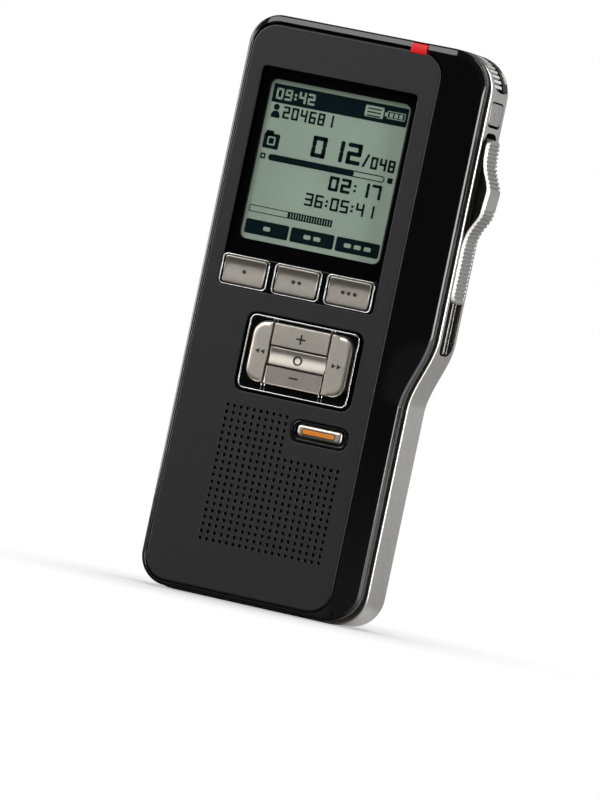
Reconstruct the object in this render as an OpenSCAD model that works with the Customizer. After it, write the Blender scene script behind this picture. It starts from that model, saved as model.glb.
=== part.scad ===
// Handheld voice recorder with a slide switch on its right side.
// It stands upright on its bottom face: +Z is up, the front faces -Y and the right side is +X.
// The origin is the middle of the bottom face. Lengths are in millimetres.

/* [Case] */
// Width across the upper part of the case
body_w = 49.5; // [49.3:0.1:49.8]
// Height of the case
body_h = 113.5; // [113.4:0.1:114]
// Thickness from the front panel to the back
body_t = 17; // [16.9:0.05:17.2]
// How far the right side steps in below the waist
waist_step = 3.45; // [3:0.05:3.6]
// Height where the waist begins
waist_low = 43.5; // [41:0.5:46]
// Height where the case reaches its full width
waist_high = 58; // [57:0.5:59]
// Corner radius of the left side
corner_left = 6; // [5.5:0.25:6.25]
// Corner radius at the top right
corner_top = 7.5; // [7.25:0.25:7.75]
// Corner radius at the bottom right
corner_low = 6.5; // [6:0.25:7]
// Wall thickness of the side frame
wall = 1.3; // [1.2:0.05:1.4]
// Depth of the front seam behind the front face
front_seam = 5.1; // [5:0.05:5.2]
// Depth of the rear seam behind the front face
rear_seam = 15.1; // [15:0.05:15.2]
// Radius of the screw posts
post_r = 1.8; // [1.6:0.1:1.9]

/* [Front panel] */
// Left edge of the panel
panel_left = -23.63; // [-23.7:0.05:-23.5]
// Right edge of the panel
panel_right = 15.69; // [15.5:0.05:15.8]
// Lower edge of the panel
panel_low = 1.48; // [1.4:0.05:1.6]
// Gap between the panel's top and the case's top
panel_drop = 2.04; // [2:0.02:2.2]
// Corner radius of the panel
panel_corner = 4.75; // [4.5:0.25:5]
// Thickness of the panel
panel_t = 0.6; // [0.5:0.05:0.7]

/* [Speaker holes] */
// Distance between hole centres
hole_pitch = 1.386; // [1.37:0.002:1.4]
// Radius of a hole
hole_r = 0.36; // [0.3:0.02:0.45]
// Centre of the first hole, from the middle of the case
hole_left = -13.28; // [-13.4:0.02:-13.2]
// Height of the top row
hole_top = 37.36; // [37.2:0.02:37.5]
// Rows beside the erase button
hole_rows_short = 6; // [5:1:6]
// Rows below the erase button
hole_rows_long = 14; // [12:1:14]

/* [Display] */
// Left edge of the window
window_left = -20.45; // [-20.5:0.05:-20.3]
// Width of the window
window_w = 32.2; // [32:0.05:32.3]
// Lower edge of the window
window_low = 66.3; // [66.3:0.05:66.5]
// Height of the window
window_h = 36.75; // [36.5:0.05:36.8]
// Left edge of the visible display
view_left = -18.9; // [-19:0.05:-18.8]
// Width of the visible display
view_w = 29.2; // [29:0.05:29.3]
// Lower edge of the visible display
view_low = 69.6; // [69.5:0.05:69.7]
// Height of the visible display
view_h = 31.5; // [31.4:0.05:31.6]

/* [Keys] */
// Travel of every front key
key_travel = 0.3; // [0.2:0.05:0.35]
// Clearance round every key
key_gap = 0.15; // [0.1:0.01:0.18]
// Left edge of the first function key
fkey_left = -19.9; // [-20:0.05:-19.8]
// Width of a function key
fkey_w = 8.6; // [8.4:0.05:8.7]
// Distance from one function key to the next
fkey_pitch = 11; // [10.9:0.05:11.05]
// Lower edge of the function keys
fkey_low = 60.6; // [60.5:0.05:60.7]
// Height of the function keys
fkey_h = 5.2; // [5:0.05:5.25]
// Left edge of the five-key pad
pad_left = -10.9; // [-11:0.05:-10.8]
// Width of the five-key pad
pad_w = 20.7; // [20.5:0.05:20.8]
// Lower edge of the five-key pad
pad_low = 42.9; // [42.8:0.05:43]
// Height of the five-key pad
pad_h = 11.8; // [11.6:0.05:11.9]
// Width of the left and the right key
pad_side_w = 3.9; // [3.7:0.05:4.1]
// Height of the middle key
pad_mid_h = 3.7; // [3.5:0.05:3.9]
// Left edge of the erase button
erase_left = 1.9; // [1.8:0.05:2]
// Width of the erase button
erase_w = 9.3; // [9.1:0.05:9.4]
// Lower edge of the erase button
erase_low = 34.3; // [34.2:0.05:34.4]
// Height of the erase button
erase_h = 2.3; // [2.2:0.05:2.4]

/* [Side controls] */
// Lower end of the slide switch knob at rest
knob_low = 65.4; // [65.3:0.1:66]
// Length of the slide switch knob
knob_len = 32.4; // [32:0.1:32.5]
// Downward travel of the slide switch
knob_down = 9.6; // [9:0.1:9.7]
// Upward travel of the slide switch
knob_up = 0.9; // [0.5:0.1:1]
// How far the knob stands out at its ends
knob_proud = 0.45; // [0.1:0.05:0.6]
// Extra height of the knob's upper half
knob_swell = 0.65; // [0.4:0.05:0.8]
// Extra height of the knob's hump
knob_hump = 2.2; // [1.5:0.1:2.5]
// Height of the hump's middle
hump_z = 85.6; // [85:0.1:87]
// Lower edge of the new-file button
new_low = 100.5; // [100.4:0.1:100.6]
// Height of the new-file button
new_h = 4.3; // [4.1:0.1:4.4]
// Lower end of the hold switch knob at rest
hold_low = 86.2; // [86:0.1:86.5]
// Travel of the hold switch
hold_travel = 2.3; // [1.5:0.1:2.4]

/* [Jacks and ports] */
// Radius of a 3.5 mm jack's bore
jack_r = 1.8; // [1.78:0.01:1.85]
// Depth of a jack's bore
jack_depth = 14.6; // [14:0.1:14.8]
// Place of the earphone jack
ear_x = -14; // [-14.5:0.1:-13.5]
// Place of the microphone jack
mic_x = -4; // [-4.5:0.1:-3.5]
// Place of the USB port
usb_x = 7; // [6.8:0.1:7.2]
// Place of the dock connector
dock_x = -9.5; // [-9.8:0.1:-9.3]

/* [Battery bay] */
// Radius of an AAA cell
cell_r = 5.2; // [5:0.05:5.25]
// Length of an AAA cell, with its nub
cell_len = 44.5; // [44:0.1:44.5]
// Middle of the battery bay
bay_x = -1.8; // [-2:0.1:-1.6]
// Distance between the two cells
cell_pitch = 11; // [10.9:0.05:11.1]
// Height of the cover's hinge
cover_hinge_z = 10; // [9.9:0.1:10.1]
// Top of the cover
cover_top = 62; // [61:0.5:62]

/* [Card door] */
// Lower end of the card door
door_low = 65.2; // [65:0.1:65.3]
// Length of the card door
door_len = 16; // [15.5:0.1:16.1]

/* [Hidden] */
$fn = 48;

charcoal = [0.16, 0.16, 0.165];
gloss_black = [0.03, 0.03, 0.035];
matt_black = [0.08, 0.08, 0.085];
silver = [0.68, 0.67, 0.64];
champagne = [0.66, 0.63, 0.57];
chrome = [0.86, 0.86, 0.86];
board_green = [0.1, 0.32, 0.16];
gold = [0.83, 0.66, 0.28];
orange = [0.93, 0.45, 0.1];

// Small overlap that keeps cuts clean
eps = 0.2;

// Edges of the case
x_left = -body_w / 2;
x_right = body_w / 2;
y_front = -body_t / 2;
y_back = body_t / 2;
y_seam = y_front + front_seam;
y_rear = y_front + rear_seam;
panel_high = body_h - panel_drop;

// Levels through the front, from the panel to the key board
y_floor = y_front + panel_t;
y_wall = y_front + 1.85;
y_flange = y_front + 2;
y_flange_end = y_front + 2.4;
y_sheet = y_front + 2.75;
y_dome = y_front + 3;
y_board = y_front + 3.5;
board_t = 0.8;
y_key = y_front - 0.4;
y_pad = y_front - 0.8;
y_pad_mid = y_front - 0.35;
y_bezel = y_front - 0.1;
y_bezel_seat = y_front + 1.2;
y_lens = y_front + 0.25;
y_lens_seat = y_front + 1.25;

// Main board and what stands on it
y_main = y_front + 5.1;
y_main_back = y_main + board_t;
y_jack = y_main_back + 3.25;

// Where the four case screws go, as offsets from the case's edges
screw_spots = [[x_left + 3.75, body_h - 4.9], [x_right - 11.25, body_h - 4.7],
    [x_left + 3.75, 5.2], [x_right - 11.25, 5.2]];
screw_r = 0.65;
head_r = 1.5;

// Right side controls
control_front = -1.9;
control_back = 4.9;
track_in = x_right - 2.35;
track_out = x_right - 1.35;
track_low = 54;
track_high = 99.4;
slot_low = 55;
slot_high = 99;
slot_gap = 0.3;
knob_top = knob_low + knob_len;
new_travel = 0.4;

// Top right corner, where the microphone sits
corner_x = x_right - corner_top;
corner_z = body_h - corner_top;

// Left side hinge of the card door
door_hinge_x = x_left + 0.85;
door_hinge_y = 3.4;
door_knuckle = 0.85;
door_pin_r = 0.4;

// Cover hinge
cover_knuckle = 1.3;
cover_hinge_y = y_back - cover_knuckle;
cover_pin_r = 0.6;
pin_gap = 0.05;
cover_left = bay_x - 14.2;
cover_right = bay_x + 14.2;
cover_t = 1.15;
cell_y = 1.95;
cell_low = 13.6;
bay_low = 11.4;
bay_high = 61.6;
release_low = cover_top + 1.2;
release_h = 3.2;
release_half = 3.5;
release_travel = 0.5;

// Speaker
speaker_x = bay_x;
speaker_z = 21.2;
speaker_r = 10.8;
hole_cols = 19;
hole_cols_short = 10;

// ---- Outlines -----------------------------------------------------------------------------

// Points along an arc in the XZ plane
function arc(cx, cz, r, a0, a1, n = 8) =
    [for (i = [0:n]) let (a = a0 + (a1 - a0) * i / n) [cx + r * cos(a), cz + r * sin(a)]];

// Smooth step from 0 to 1
function ease(s) = s * s * (3 - 2 * s);

// The S-shaped waist between the upper and the lower right edge
function waist(upper, lower, n = 10) =
    [for (i = [0:n]) let (s = i / n)
        [upper + (lower - upper) * ease(s), waist_high + (waist_low - waist_high) * s]];

// Case outline from its edges and its corner radii
function outline(l, upper, lower, b, t, rl, rt, rb) = concat(
    arc(l + rl, t - rl, rl, 180, 90),
    arc(upper - rt, t - rt, rt, 90, 0),
    waist(upper, lower),
    arc(lower - rb, b + rb, rb, 0, -90),
    arc(l + rl, b + rl, rl, -90, -180));

// Case outline moved inwards by e, and by el at the left
function ring(e, el) = outline(x_left + el, x_right - e, x_right - waist_step - e, e, body_h - e,
    corner_left - e, corner_top - e, corner_low - e);

// Outline that follows the panel on the left and ends at a given right edge
function panel_ring(e, upper, lower, r) = outline(panel_left - e, upper, lower,
    panel_low - e, panel_high + e, panel_corner + e, r, r);

// Rectangle with rounded corners
function round_rect(x0, x1, z0, z1, r, n = 6) = concat(
    arc(x0 + r, z1 - r, r, 180, 90, n),
    arc(x1 - r, z1 - r, r, 90, 0, n),
    arc(x1 - r, z0 + r, r, 0, -90, n),
    arc(x0 + r, z0 + r, r, -90, -180, n));

// ---- Basic solids -------------------------------------------------------------------------

// Solid through a row of outlines, given from front to back as [y, points]
module loft(rings) {
    n = len(rings[0][1]);
    m = len(rings);
    polyhedron(
        points = [for (r = rings) for (p = r[1]) [p[0], r[0], p[1]]],
        faces = concat(
            [[for (i = [0:n - 1]) i]],
            [for (k = [0:m - 2]) for (i = [0:n - 1]) for (half = [0, 1])
                let (j = (i + 1) % n, a = k * n, b = (k + 1) * n)
                half == 0 ? [a + i, b + i, b + j] : [a + i, b + j, a + j]],
            [[for (i = [n - 1:-1:0]) (m - 1) * n + i]]));
}

// Outline in the XZ plane, given thickness from y0 to y1
module prism(pts, y0, y1) {
    translate([0, y1, 0]) rotate([90, 0, 0]) linear_extrude(y1 - y0) polygon(pts);
}

module plate(x0, x1, z0, z1, r, y0, y1) {
    prism(round_rect(x0, x1, z0, z1, r), y0, y1);
}

module block(x0, x1, y0, y1, z0, z1) {
    translate([x0, y0, z0]) cube([x1 - x0, y1 - y0, z1 - z0]);
}

module rod_x(y, z, r, x0, x1) {
    translate([x0, y, z]) rotate([0, 90, 0]) cylinder(h = x1 - x0, r = r);
}

module rod_y(x, z, r, y0, y1) {
    translate([x, y1, z]) rotate([90, 0, 0]) cylinder(h = y1 - y0, r = r);
}

module rod_z(x, y, r, z0, z1) {
    translate([x, y, z0]) cylinder(h = z1 - z0, r = r);
}

// Conical wire spring along Z
module coil(x, y, z0, z1, r0, r1, wire, turns, steps = 14, sides = 6) {
    n = turns * steps;
    translate([x, y, 0]) polyhedron(
        points = [for (i = [0:n]) for (j = [0:sides - 1])
            let (a = 360 * i / steps, b = 360 * j / sides,
                r = r0 + (r1 - r0) * i / n + wire * cos(b),
                z = z0 + (z1 - z0) * i / n + wire * sin(b))
            [r * cos(a), r * sin(a), z]],
        faces = concat(
            [[for (j = [sides - 1:-1:0]) j]],
            [for (i = [0:n - 1]) for (j = [0:sides - 1]) for (half = [0, 1])
                let (k = (j + 1) % sides, a = i * sides, b = (i + 1) * sides)
                half == 0 ? [a + j, a + k, b + k] : [a + j, b + k, b + j]],
            [[for (j = [0:sides - 1]) n * sides + j]]));
}

// ---- Case ---------------------------------------------------------------------------------

// Opening behind the speaker holes, stepped round the erase button
function speaker_opening(e) = let (
    l = hole_left - 0.82 + e, top = hole_top + 0.74 - e,
    mid = hole_left + hole_pitch * (hole_cols_short - 1) + 0.72 - e,
    step = hole_top - hole_pitch * hole_rows_short + 0.86 - e,
    r = hole_left + hole_pitch * (hole_cols - 1) + 0.74 - e,
    low = hole_top - hole_pitch * (hole_rows_short + hole_rows_long - 1) - 0.83 + e)
    [[l, top], [mid, top], [mid, step], [r, step], [r, low], [l, low]];

// Everything that passes through the front wall
module front_openings() {
    // Panel recess, with the dark gap along its top
    prism(round_rect(panel_left - 0.15, panel_right + 0.15, panel_low - 0.15, panel_high + 0.6,
        panel_corner), y_front - eps, y_floor);
    // Window seat and the view through it
    plate(window_left - 0.1, window_left + window_w + 0.1, window_low - 0.1,
        window_low + window_h + 0.1, 1, y_front, y_lens_seat);
    plate(view_left - 0.6, view_left + view_w + 0.6, view_low - 0.6, view_low + view_h + 0.6,
        1.5, y_front, y_wall + eps);
    // Function keys
    plate(window_left - 0.25, window_left + window_w + 0.25, fkey_low - 0.65, window_low - 0.1,
        0.9, y_front, y_bezel_seat);
    for (i = [0:2]) fkey_hole(i, y_front, y_wall + eps);
    // Five-key pad
    plate(pad_left - 1.55, pad_left + pad_w + 1, pad_low - 1.95, pad_low + pad_h + 1.15, 1.5,
        y_front, y_bezel_seat);
    plate(pad_left - key_gap, pad_left + pad_w + key_gap, pad_low - key_gap,
        pad_low + pad_h + key_gap, 2.7, y_front, y_wall + eps);
    // Erase button
    plate(erase_left - 1.7, erase_left + erase_w + 1.35, erase_low - 1.35,
        erase_low + erase_h + 0.95, 2, y_front, y_bezel_seat);
    plate(erase_left - key_gap, erase_left + erase_w + key_gap, erase_low - key_gap,
        erase_low + erase_h + key_gap, 0.5, y_front, y_wall + eps);
    // Speaker
    prism(speaker_opening(0), y_front, y_wall + eps);
}

module front_shell() {
    flank_w = x_right - panel_right - 1.25;
    flank_low = flank_w - waist_step;
    color(gloss_black) difference() {
        union() {
            difference() {
                loft([
                    [y_front + 0.15, panel_ring(0.75, panel_right + 0.3, panel_right + 0.3, 5)],
                    [y_front + 0.6, panel_ring(1, panel_right + 0.16 * flank_w,
                        panel_right + 0.16 * flank_low, 5.6)],
                    [y_front + 3, ring(1.1, 0.1)],
                    [y_front + 3.5, ring(0.45, 0.1)],
                    [y_seam - 0.3, ring(0.45, 0.1)],
                    [y_seam, ring(1, 0.8)]]);
                loft([
                    [y_wall, panel_ring(-1, panel_right + 1.2, panel_right + 0.5, 4)],
                    [y_front + 3.5, ring(2.2, 1.6)],
                    [y_seam + eps, ring(2.1, 1.6)]]);
            }
            for (p = screw_spots) rod_y(p[0], p[1], post_r, y_wall - 0.5, y_rear - 0.05);
        }
        for (p = screw_spots) rod_y(p[0], p[1], screw_r, -0.6, y_rear + eps);
        front_openings();
        // Notch for the record light
        block(8.4, 11.8, y_front - eps, y_front + 1.9, panel_high - 0.6, body_h + eps);
        // Channel for the light's stem
        block(9.1, 11.1, y_front + 1.8, y_front + 4.1, panel_high - 0.4, panel_high + 0.6);
    }
}

module front_panel() {
    color(charcoal) difference() {
        plate(panel_left, panel_right, panel_low, panel_high, panel_corner, y_front, y_floor);
        plate(window_left - 0.25, window_left + window_w + 0.25, fkey_low - 0.7,
            window_low + window_h + 0.15, 0.9, y_front - eps, y_floor + eps);
        plate(pad_left - 2.3, pad_left + pad_w + 1.7, pad_low - 2.4, pad_low + pad_h + 1.4, 2.2,
            y_front - eps, y_floor + eps);
        plate(erase_left - 1.65, erase_left + erase_w + 1.3, erase_low - 1.3,
            erase_low + erase_h + 0.9, 2, y_front - eps, y_floor + eps);
        block(8.4, 11.8, y_front - eps, y_floor + eps, panel_high - 0.6, body_h);
        for (row = [0:hole_rows_short + hole_rows_long - 1])
            for (col = [0:(row < hole_rows_short ? hole_cols_short : hole_cols) - 1])
                rod_y(hole_left + col * hole_pitch, hole_top - row * hole_pitch, hole_r,
                    y_front - eps, y_floor + eps);
    }
}

// Wedge between two angles round the top right corner
module corner_wedge(a0, a1, r0, r1, y0, y1) {
    prism(concat(arc(corner_x, corner_z, r0, a0, a1), arc(corner_x, corner_z, r1, a1, a0)), y0, y1);
}

module side_frame() {
    color(silver) difference() {
        union() {
            difference() {
                loft([
                    [y_seam, ring(0.5, 0.5)],
                    [y_seam + 0.5, ring(0, 0)],
                    [y_rear - 0.3, ring(0, 0)],
                    [y_rear, ring(0.3, 0.3)]]);
                prism(ring(wall, wall), y_seam - eps, y_rear + eps);
            }
            // Ears for the card door's pin
            for (z = [door_low - 2.8, door_low + door_len + 0.2])
                block(x_left + wall - 0.3, x_left + wall + 0.8, 2.3, 4.5, z, z + 2.6);
            // Cup round the strap bar
            block(x_left + 0.3, x_left + 4.2, -2.6, 4.6, 97.2, 104.6);
        }
        // Slide switch opening and the seat of its track
        block(track_out - eps, x_right + eps, control_front - slot_gap, control_back + slot_gap,
            slot_low, slot_high);
        block(track_in - 0.1, track_out + 0.05, y_seam - eps, y_rear + eps,
            track_low - 0.1, track_high + 0.1);
        // New-file button
        block(x_right - wall - eps, x_right + eps, control_front - key_gap, control_back + key_gap,
            new_low - key_gap, new_low + new_h + key_gap);
        // Microphone opening round the corner
        corner_wedge(7, 82, corner_top - wall - 0.3, corner_top + 0.5, -2.3, 5.9);
        // Hold switch
        block(x_left - eps, x_left + wall + eps, -0.8, 2.8, hold_low - 0.2, hold_low + 5.4 + hold_travel + 0.2);
        // Card door and its pin
        block(x_left - eps, x_left + wall + 0.9, -2.5, 4.5, door_low - 0.2, door_low + door_len + 0.2);
        rod_z(door_hinge_x, door_hinge_y, door_pin_r, door_low - 2, door_low + door_len + 2);
        // Strap pocket and its bar
        block(x_left - eps, x_left + 3.2, -1.4, 3.4, 98.4, 103.4);
        rod_y(x_left + 1.3, 100.9, 0.7, -2.3, 4.3);
        // Jack collars
        for (x = [ear_x, mic_x]) rod_z(x, y_jack, 2.9, body_h - wall - eps, body_h + eps);
        // Dock connector and USB port
        block(dock_x - 7.5, dock_x + 7.5, -1, 3, -eps, wall + eps);
        block(usb_x - 4, usb_x + 4, -1.2, 3, -eps, wall + eps);
    }
}

module rear_shell() {
    color(matt_black) difference() {
        union() {
            difference() {
                loft([
                    [y_rear, ring(0.8, 0.8)],
                    [y_rear + 0.2, ring(0.4, 0.4)],
                    [y_back - 1.2, ring(0.6, 0.6)],
                    [y_back - 0.6, ring(1.1, 1.1)],
                    [y_back - 0.2, ring(1.8, 1.8)],
                    [y_back, ring(2.8, 2.8)]]);
                loft([
                    [y_rear - eps, ring(1.6, 1.6)],
                    [y_back - cover_t, ring(2.3, 2.3)]]);
            }
            for (p = screw_spots) rod_y(p[0], p[1], 2, y_rear, y_back - 0.5);
            // Ears for the cover's pin
            for (x = [cover_left - 2.6, cover_right + 0.3])
                block(x, x + 2.3, y_back - 2.4, y_back - 0.4, cover_hinge_z - 1.4, cover_hinge_z + 1.4);
        }
        for (p = screw_spots) {
            rod_y(p[0], p[1], screw_r + 0.15, y_rear - eps, y_back);
            rod_y(p[0], p[1], head_r + 0.15, y_back - 1.3, y_back + eps);
        }
        // Battery cover opening
        block(cover_left - 0.3, cover_right + 0.3, y_rear - eps, y_back + eps,
            cover_hinge_z - cover_knuckle - 0.35, cover_top + 0.3);
        rod_x(cover_hinge_y, cover_hinge_z, cover_pin_r, cover_left - 2.4, cover_right + 2.4);
        // Release button
        plate(bay_x - release_half - key_gap, bay_x + release_half + key_gap, release_low - key_gap,
            release_low + release_h + key_gap, 0.8, y_back - 2, y_back + eps);
        // Seat of the rating plate
        plate(bay_x - 11.1, bay_x + 11.1, 70.9, 87.1, 1.1, y_back - 0.3, y_back + eps);
    }
}

module case_screws() {
    color([0.35, 0.35, 0.36]) for (p = screw_spots) difference() {
        union() {
            rod_y(p[0], p[1], screw_r, -0.4, y_back - 1.3);
            rod_y(p[0], p[1], head_r, y_back - 1.3, y_back - 0.4);
        }
        for (turn = [0, 90])
            translate([p[0], y_back - 0.4, p[1]]) rotate([0, turn, 0])
                cube([1.7, 1, 0.36], center = true);
    }
}

module rating_plate() {
    color(silver) plate(bay_x - 11, bay_x + 11, 71, 87, 1, y_back - 0.3, y_back - 0.05);
}

// ---- Display ------------------------------------------------------------------------------

module display_window() {
    color([0.05, 0.06, 0.07, 0.6]) plate(window_left, window_left + window_w, window_low,
        window_low + window_h, 0.8, y_lens, y_lens_seat);
}

module display_module() {
    color([0.55, 0.64, 0.56]) plate(view_left - 1.6, view_left + view_w + 1.6, view_low - 2,
        view_low + view_h + 2.2, 0.4, y_front + 2.3, y_front + 3.6);
}

module display_holder() {
    color(matt_black) difference() {
        block(view_left - 2.4, view_left + view_w + 2.4, y_wall + 0.05, y_front + 5,
            view_low - 2.7, view_low + view_h + 2.9);
        plate(view_left, view_left + view_w, view_low, view_low + view_h, 1.3, y_front, y_front + 3);
        plate(view_left - 1.6, view_left + view_w + 1.6, view_low - 2, view_low + view_h + 2.2, 0.4,
            y_front + 2.3, y_front + 3.6);
        block(view_left, view_left + view_w, y_front + 3.4, y_front + 6, view_low, view_low + view_h);
    }
}

module record_light() {
    color([0.85, 0.08, 0.08, 0.8]) union() {
        block(8.5, 11.7, y_front - 0.1, y_front + 1.8, panel_high - 0.5, body_h - 0.5);
        block(9.2, 11, y_front + 1.7, y_front + 4, panel_high - 0.3, panel_high + 0.5);
    }
}

// ---- Front keys ---------------------------------------------------------------------------

function fkey_x(i) = fkey_left + i * fkey_pitch;

module fkey_hole(i, y0, y1) {
    plate(fkey_x(i) - key_gap, fkey_x(i) + fkey_w + key_gap, fkey_low - key_gap,
        fkey_low + fkey_h + key_gap, 0.5, y0, y1);
}

module function_key_bezel() {
    color(chrome) difference() {
        plate(window_left - 0.15, window_left + window_w + 0.15, fkey_low - 0.55,
            window_low - 0.1, 0.8, y_bezel, y_bezel_seat);
        for (i = [0:2]) fkey_hole(i, y_bezel - eps, y_bezel_seat + eps);
    }
}

// A key's cap with the collar that holds it behind the front wall
module fkey(i) {
    color(champagne) union() {
        plate(fkey_x(i), fkey_x(i) + fkey_w, fkey_low, fkey_low + fkey_h, 0.4, y_key, y_flange_end);
        block(fkey_x(i) - 0.6, fkey_x(i) + fkey_w + 0.6, y_flange, y_flange_end,
            fkey_low - 0.5, fkey_low + fkey_h + 0.5);
    }
}

module f1_key() {
    fkey(0);
}

module f2_key() {
    fkey(1);
}

module f3_key() {
    fkey(2);
}

module nav_bezel() {
    color(gloss_black) difference() {
        plate(pad_left - 1.4, pad_left + pad_w + 0.85, pad_low - 1.8, pad_low + pad_h + 1, 1.3,
            y_bezel, y_bezel_seat);
        plate(pad_left - 1.1, pad_left + pad_w + 0.55, pad_low - 1.5, pad_low + pad_h + 0.7, 1,
            y_bezel - eps, y_bezel + 0.3);
        plate(pad_left - key_gap, pad_left + pad_w + key_gap, pad_low - key_gap,
            pad_low + pad_h + key_gap, 2.7, y_bezel - eps, y_bezel_seat + eps);
    }
}

// One cell of the pad, cut from the pad's rounded outline, with a collar outside the outline
module pad_key(x0, x1, z0, z1, top) {
    color(champagne) intersection() {
        union() {
            plate(pad_left, pad_left + pad_w, pad_low, pad_low + pad_h, 2.6, top, y_flange_end);
            plate(pad_left - 0.7, pad_left + pad_w + 0.7, pad_low - 0.7, pad_low + pad_h + 0.7, 3,
                y_flange, y_flange_end);
        }
        block(x0, x1, y_front - 3, y_board, z0, z1);
    }
}

pad_a = pad_left + pad_side_w;
pad_b = pad_left + pad_w - pad_side_w - 0.85;
pad_c = pad_low + (pad_h - pad_mid_h) / 2 - 0.35;
pad_d = pad_c + pad_mid_h;
half_gap = 0.12;

module rewind_key() {
    pad_key(pad_left - 2, pad_a - half_gap, pad_low - 2, pad_low + pad_h + 2, y_pad);
}

module forward_key() {
    pad_key(pad_b + half_gap, pad_left + pad_w + 2, pad_low - 2, pad_low + pad_h + 2, y_pad);
}

module plus_key() {
    pad_key(pad_a + half_gap, pad_b - half_gap, pad_d + half_gap, pad_low + pad_h + 2, y_pad);
}

module ok_key() {
    pad_key(pad_a + half_gap, pad_b - half_gap, pad_c + half_gap, pad_d - half_gap, y_pad_mid);
}

module minus_key() {
    pad_key(pad_a + half_gap, pad_b - half_gap, pad_low - 2, pad_c - half_gap, y_pad);
}

module erase_bezel() {
    color(gloss_black) difference() {
        plate(erase_left - 1.55, erase_left + erase_w + 1.2, erase_low - 1.2,
            erase_low + erase_h + 0.8, 1.9, y_bezel, y_bezel_seat);
        plate(erase_left - key_gap, erase_left + erase_w + key_gap, erase_low - key_gap,
            erase_low + erase_h + key_gap, 0.5, y_bezel - eps, y_bezel_seat + eps);
    }
}

module erase_slot(y0) {
    plate(erase_left + 1.1, erase_left + erase_w - 1.5, erase_low + 0.55, erase_low + 1.45, 0.25,
        y0, y_key + 0.4);
}

module erase_button() {
    color(champagne) difference() {
        union() {
            plate(erase_left, erase_left + erase_w, erase_low, erase_low + erase_h, 0.4,
                y_key, y_flange_end);
            block(erase_left - 0.6, erase_left + erase_w + 0.6, y_flange, y_flange_end,
                erase_low - 0.6, erase_low + erase_h + 0.6);
        }
        erase_slot(y_key - eps);
    }
}

module erase_inlay() {
    color(orange) erase_slot(y_key - 0.05);
}

// Centres of the nine key contacts
dome_spots = concat(
    [for (i = [0:2]) [fkey_x(i) + fkey_w / 2, fkey_low + fkey_h / 2]],
    [[(pad_left + pad_a) / 2, pad_low + pad_h / 2], [(pad_b + pad_left + pad_w) / 2, pad_low + pad_h / 2]],
    [for (z = [pad_low + 2, (pad_c + pad_d) / 2, pad_low + pad_h - 2]) [(pad_a + pad_b) / 2, z]],
    [[erase_left + erase_w / 2, erase_low + erase_h / 2]]);

module keypad_membrane() {
    color([0.75, 0.75, 0.72]) difference() {
        block(-20.4, 13.2, y_sheet, y_sheet + 0.2, 33.2, 66.4);
        block(-20.6, -1, y_sheet - eps, y_sheet + 0.4, 33, 40);
    }
}

module key_domes() {
    color(chrome) for (p = dome_spots) intersection() {
        rod_y(p[0], p[1], 1.5, y_dome, y_board);
        translate([p[0], y_dome + 2.7, p[1]]) sphere(r = 2.7);
    }
}

// ---- Boards -------------------------------------------------------------------------------

module key_board() {
    color(board_green) difference() {
        block(-19, 15, y_board, y_board + board_t, 7.6, 66.4);
        rod_y(speaker_x, speaker_z, speaker_r + 0.3, y_board - eps, y_board + board_t + eps);
    }
}

module main_board() {
    color(board_green) block(-22.4, 15.6, y_main, y_main_back, 62.6, 106.2);
}

module io_board() {
    color(board_green) block(-18, 11.4, -1.9, -1.1, 1.6, 10.9);
}

module board_flex() {
    color(orange) union() {
        block(-16, -8, y_board + board_t, y_board + board_t + 0.12, 62.9, 66);
        block(-16, -8, y_board + board_t, y_main, 62.6, 62.75);
    }
}

module processor_shield() {
    color(chrome) difference() {
        block(-5.6, 13, y_main_back, y_main_back + 2.2, 66, 94);
        block(-5.4, 12.8, y_main_back - eps, y_main_back + 2, 66.2, 93.8);
    }
}

// ---- Sound --------------------------------------------------------------------------------

module speaker() {
    color(matt_black) union() {
        rod_y(speaker_x, speaker_z, speaker_r, y_front + 2, y_front + 3.2);
        rod_y(speaker_x, speaker_z, speaker_r - 2.4, y_front + 3.1, y_front + 4.55);
    }
}

module speaker_cloth() {
    color([0.1, 0.1, 0.1]) prism(speaker_opening(0.1), y_floor, y_floor + 0.25);
}

module mic_grille() {
    ribs = 6;
    color(chrome) difference() {
        corner_wedge(9, 80, corner_top - wall, corner_top - 0.15, -2.1, 5.7);
        for (i = [0:ribs - 1])
            translate([corner_x, 0.1, corner_z]) rotate([0, -17 - i * 11, 0])
                translate([corner_top - wall / 2, 0, 0]) cube([wall + 1, 3.6, 0.7], center = true);
    }
}

module microphone() {
    color(silver) translate([corner_x, 1, corner_z]) rotate([0, 45, 0]) translate([0, 0, 2.4])
        cylinder(h = 2.2, r = 2.9);
}

// ---- Right side ---------------------------------------------------------------------------

module slide_track() {
    color(gloss_black) difference() {
        block(track_in, track_out, y_seam + 0.1, y_rear - 0.1, track_low, track_high);
        for (y = [-1.2, 1.8])
            block(track_in - eps, track_out + eps, y, y + 1.4, slot_low + 0.8, slot_high - 0.8);
    }
}

// How far out the knob reaches at height z
function knob_x(z) = let (u = max(abs(z - hump_z) - 1.9, 0), s = min(max((z - 80) / 12, 0), 1))
    x_right + knob_proud + knob_swell * ease(s) + knob_hump * exp(-pow(u / 3.6, 2));

module slide_knob() {
    ribs = 41;
    pitch = knob_len / ribs;
    rib_depth = 0.22;
    outer = [for (i = [0:ribs]) for (k = [0, 1])
        let (z = min(knob_top, knob_low + pitch * (i + k / 2)),
            cut = (k == 1 && abs(z - hump_z) > 2.3 && i < ribs) ? rib_depth : 0)
        [knob_x(z) - cut, z]];
    color(silver) union() {
        prism(concat([[track_out + 0.15, knob_top], [track_out + 0.15, knob_low]], outer),
            control_front, control_back);
        for (y = [-0.95, 2.05])
            block(track_in - 0.2, track_out + 0.3, y, y + 0.9, knob_low + 5, knob_top - 7);
    }
}

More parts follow.
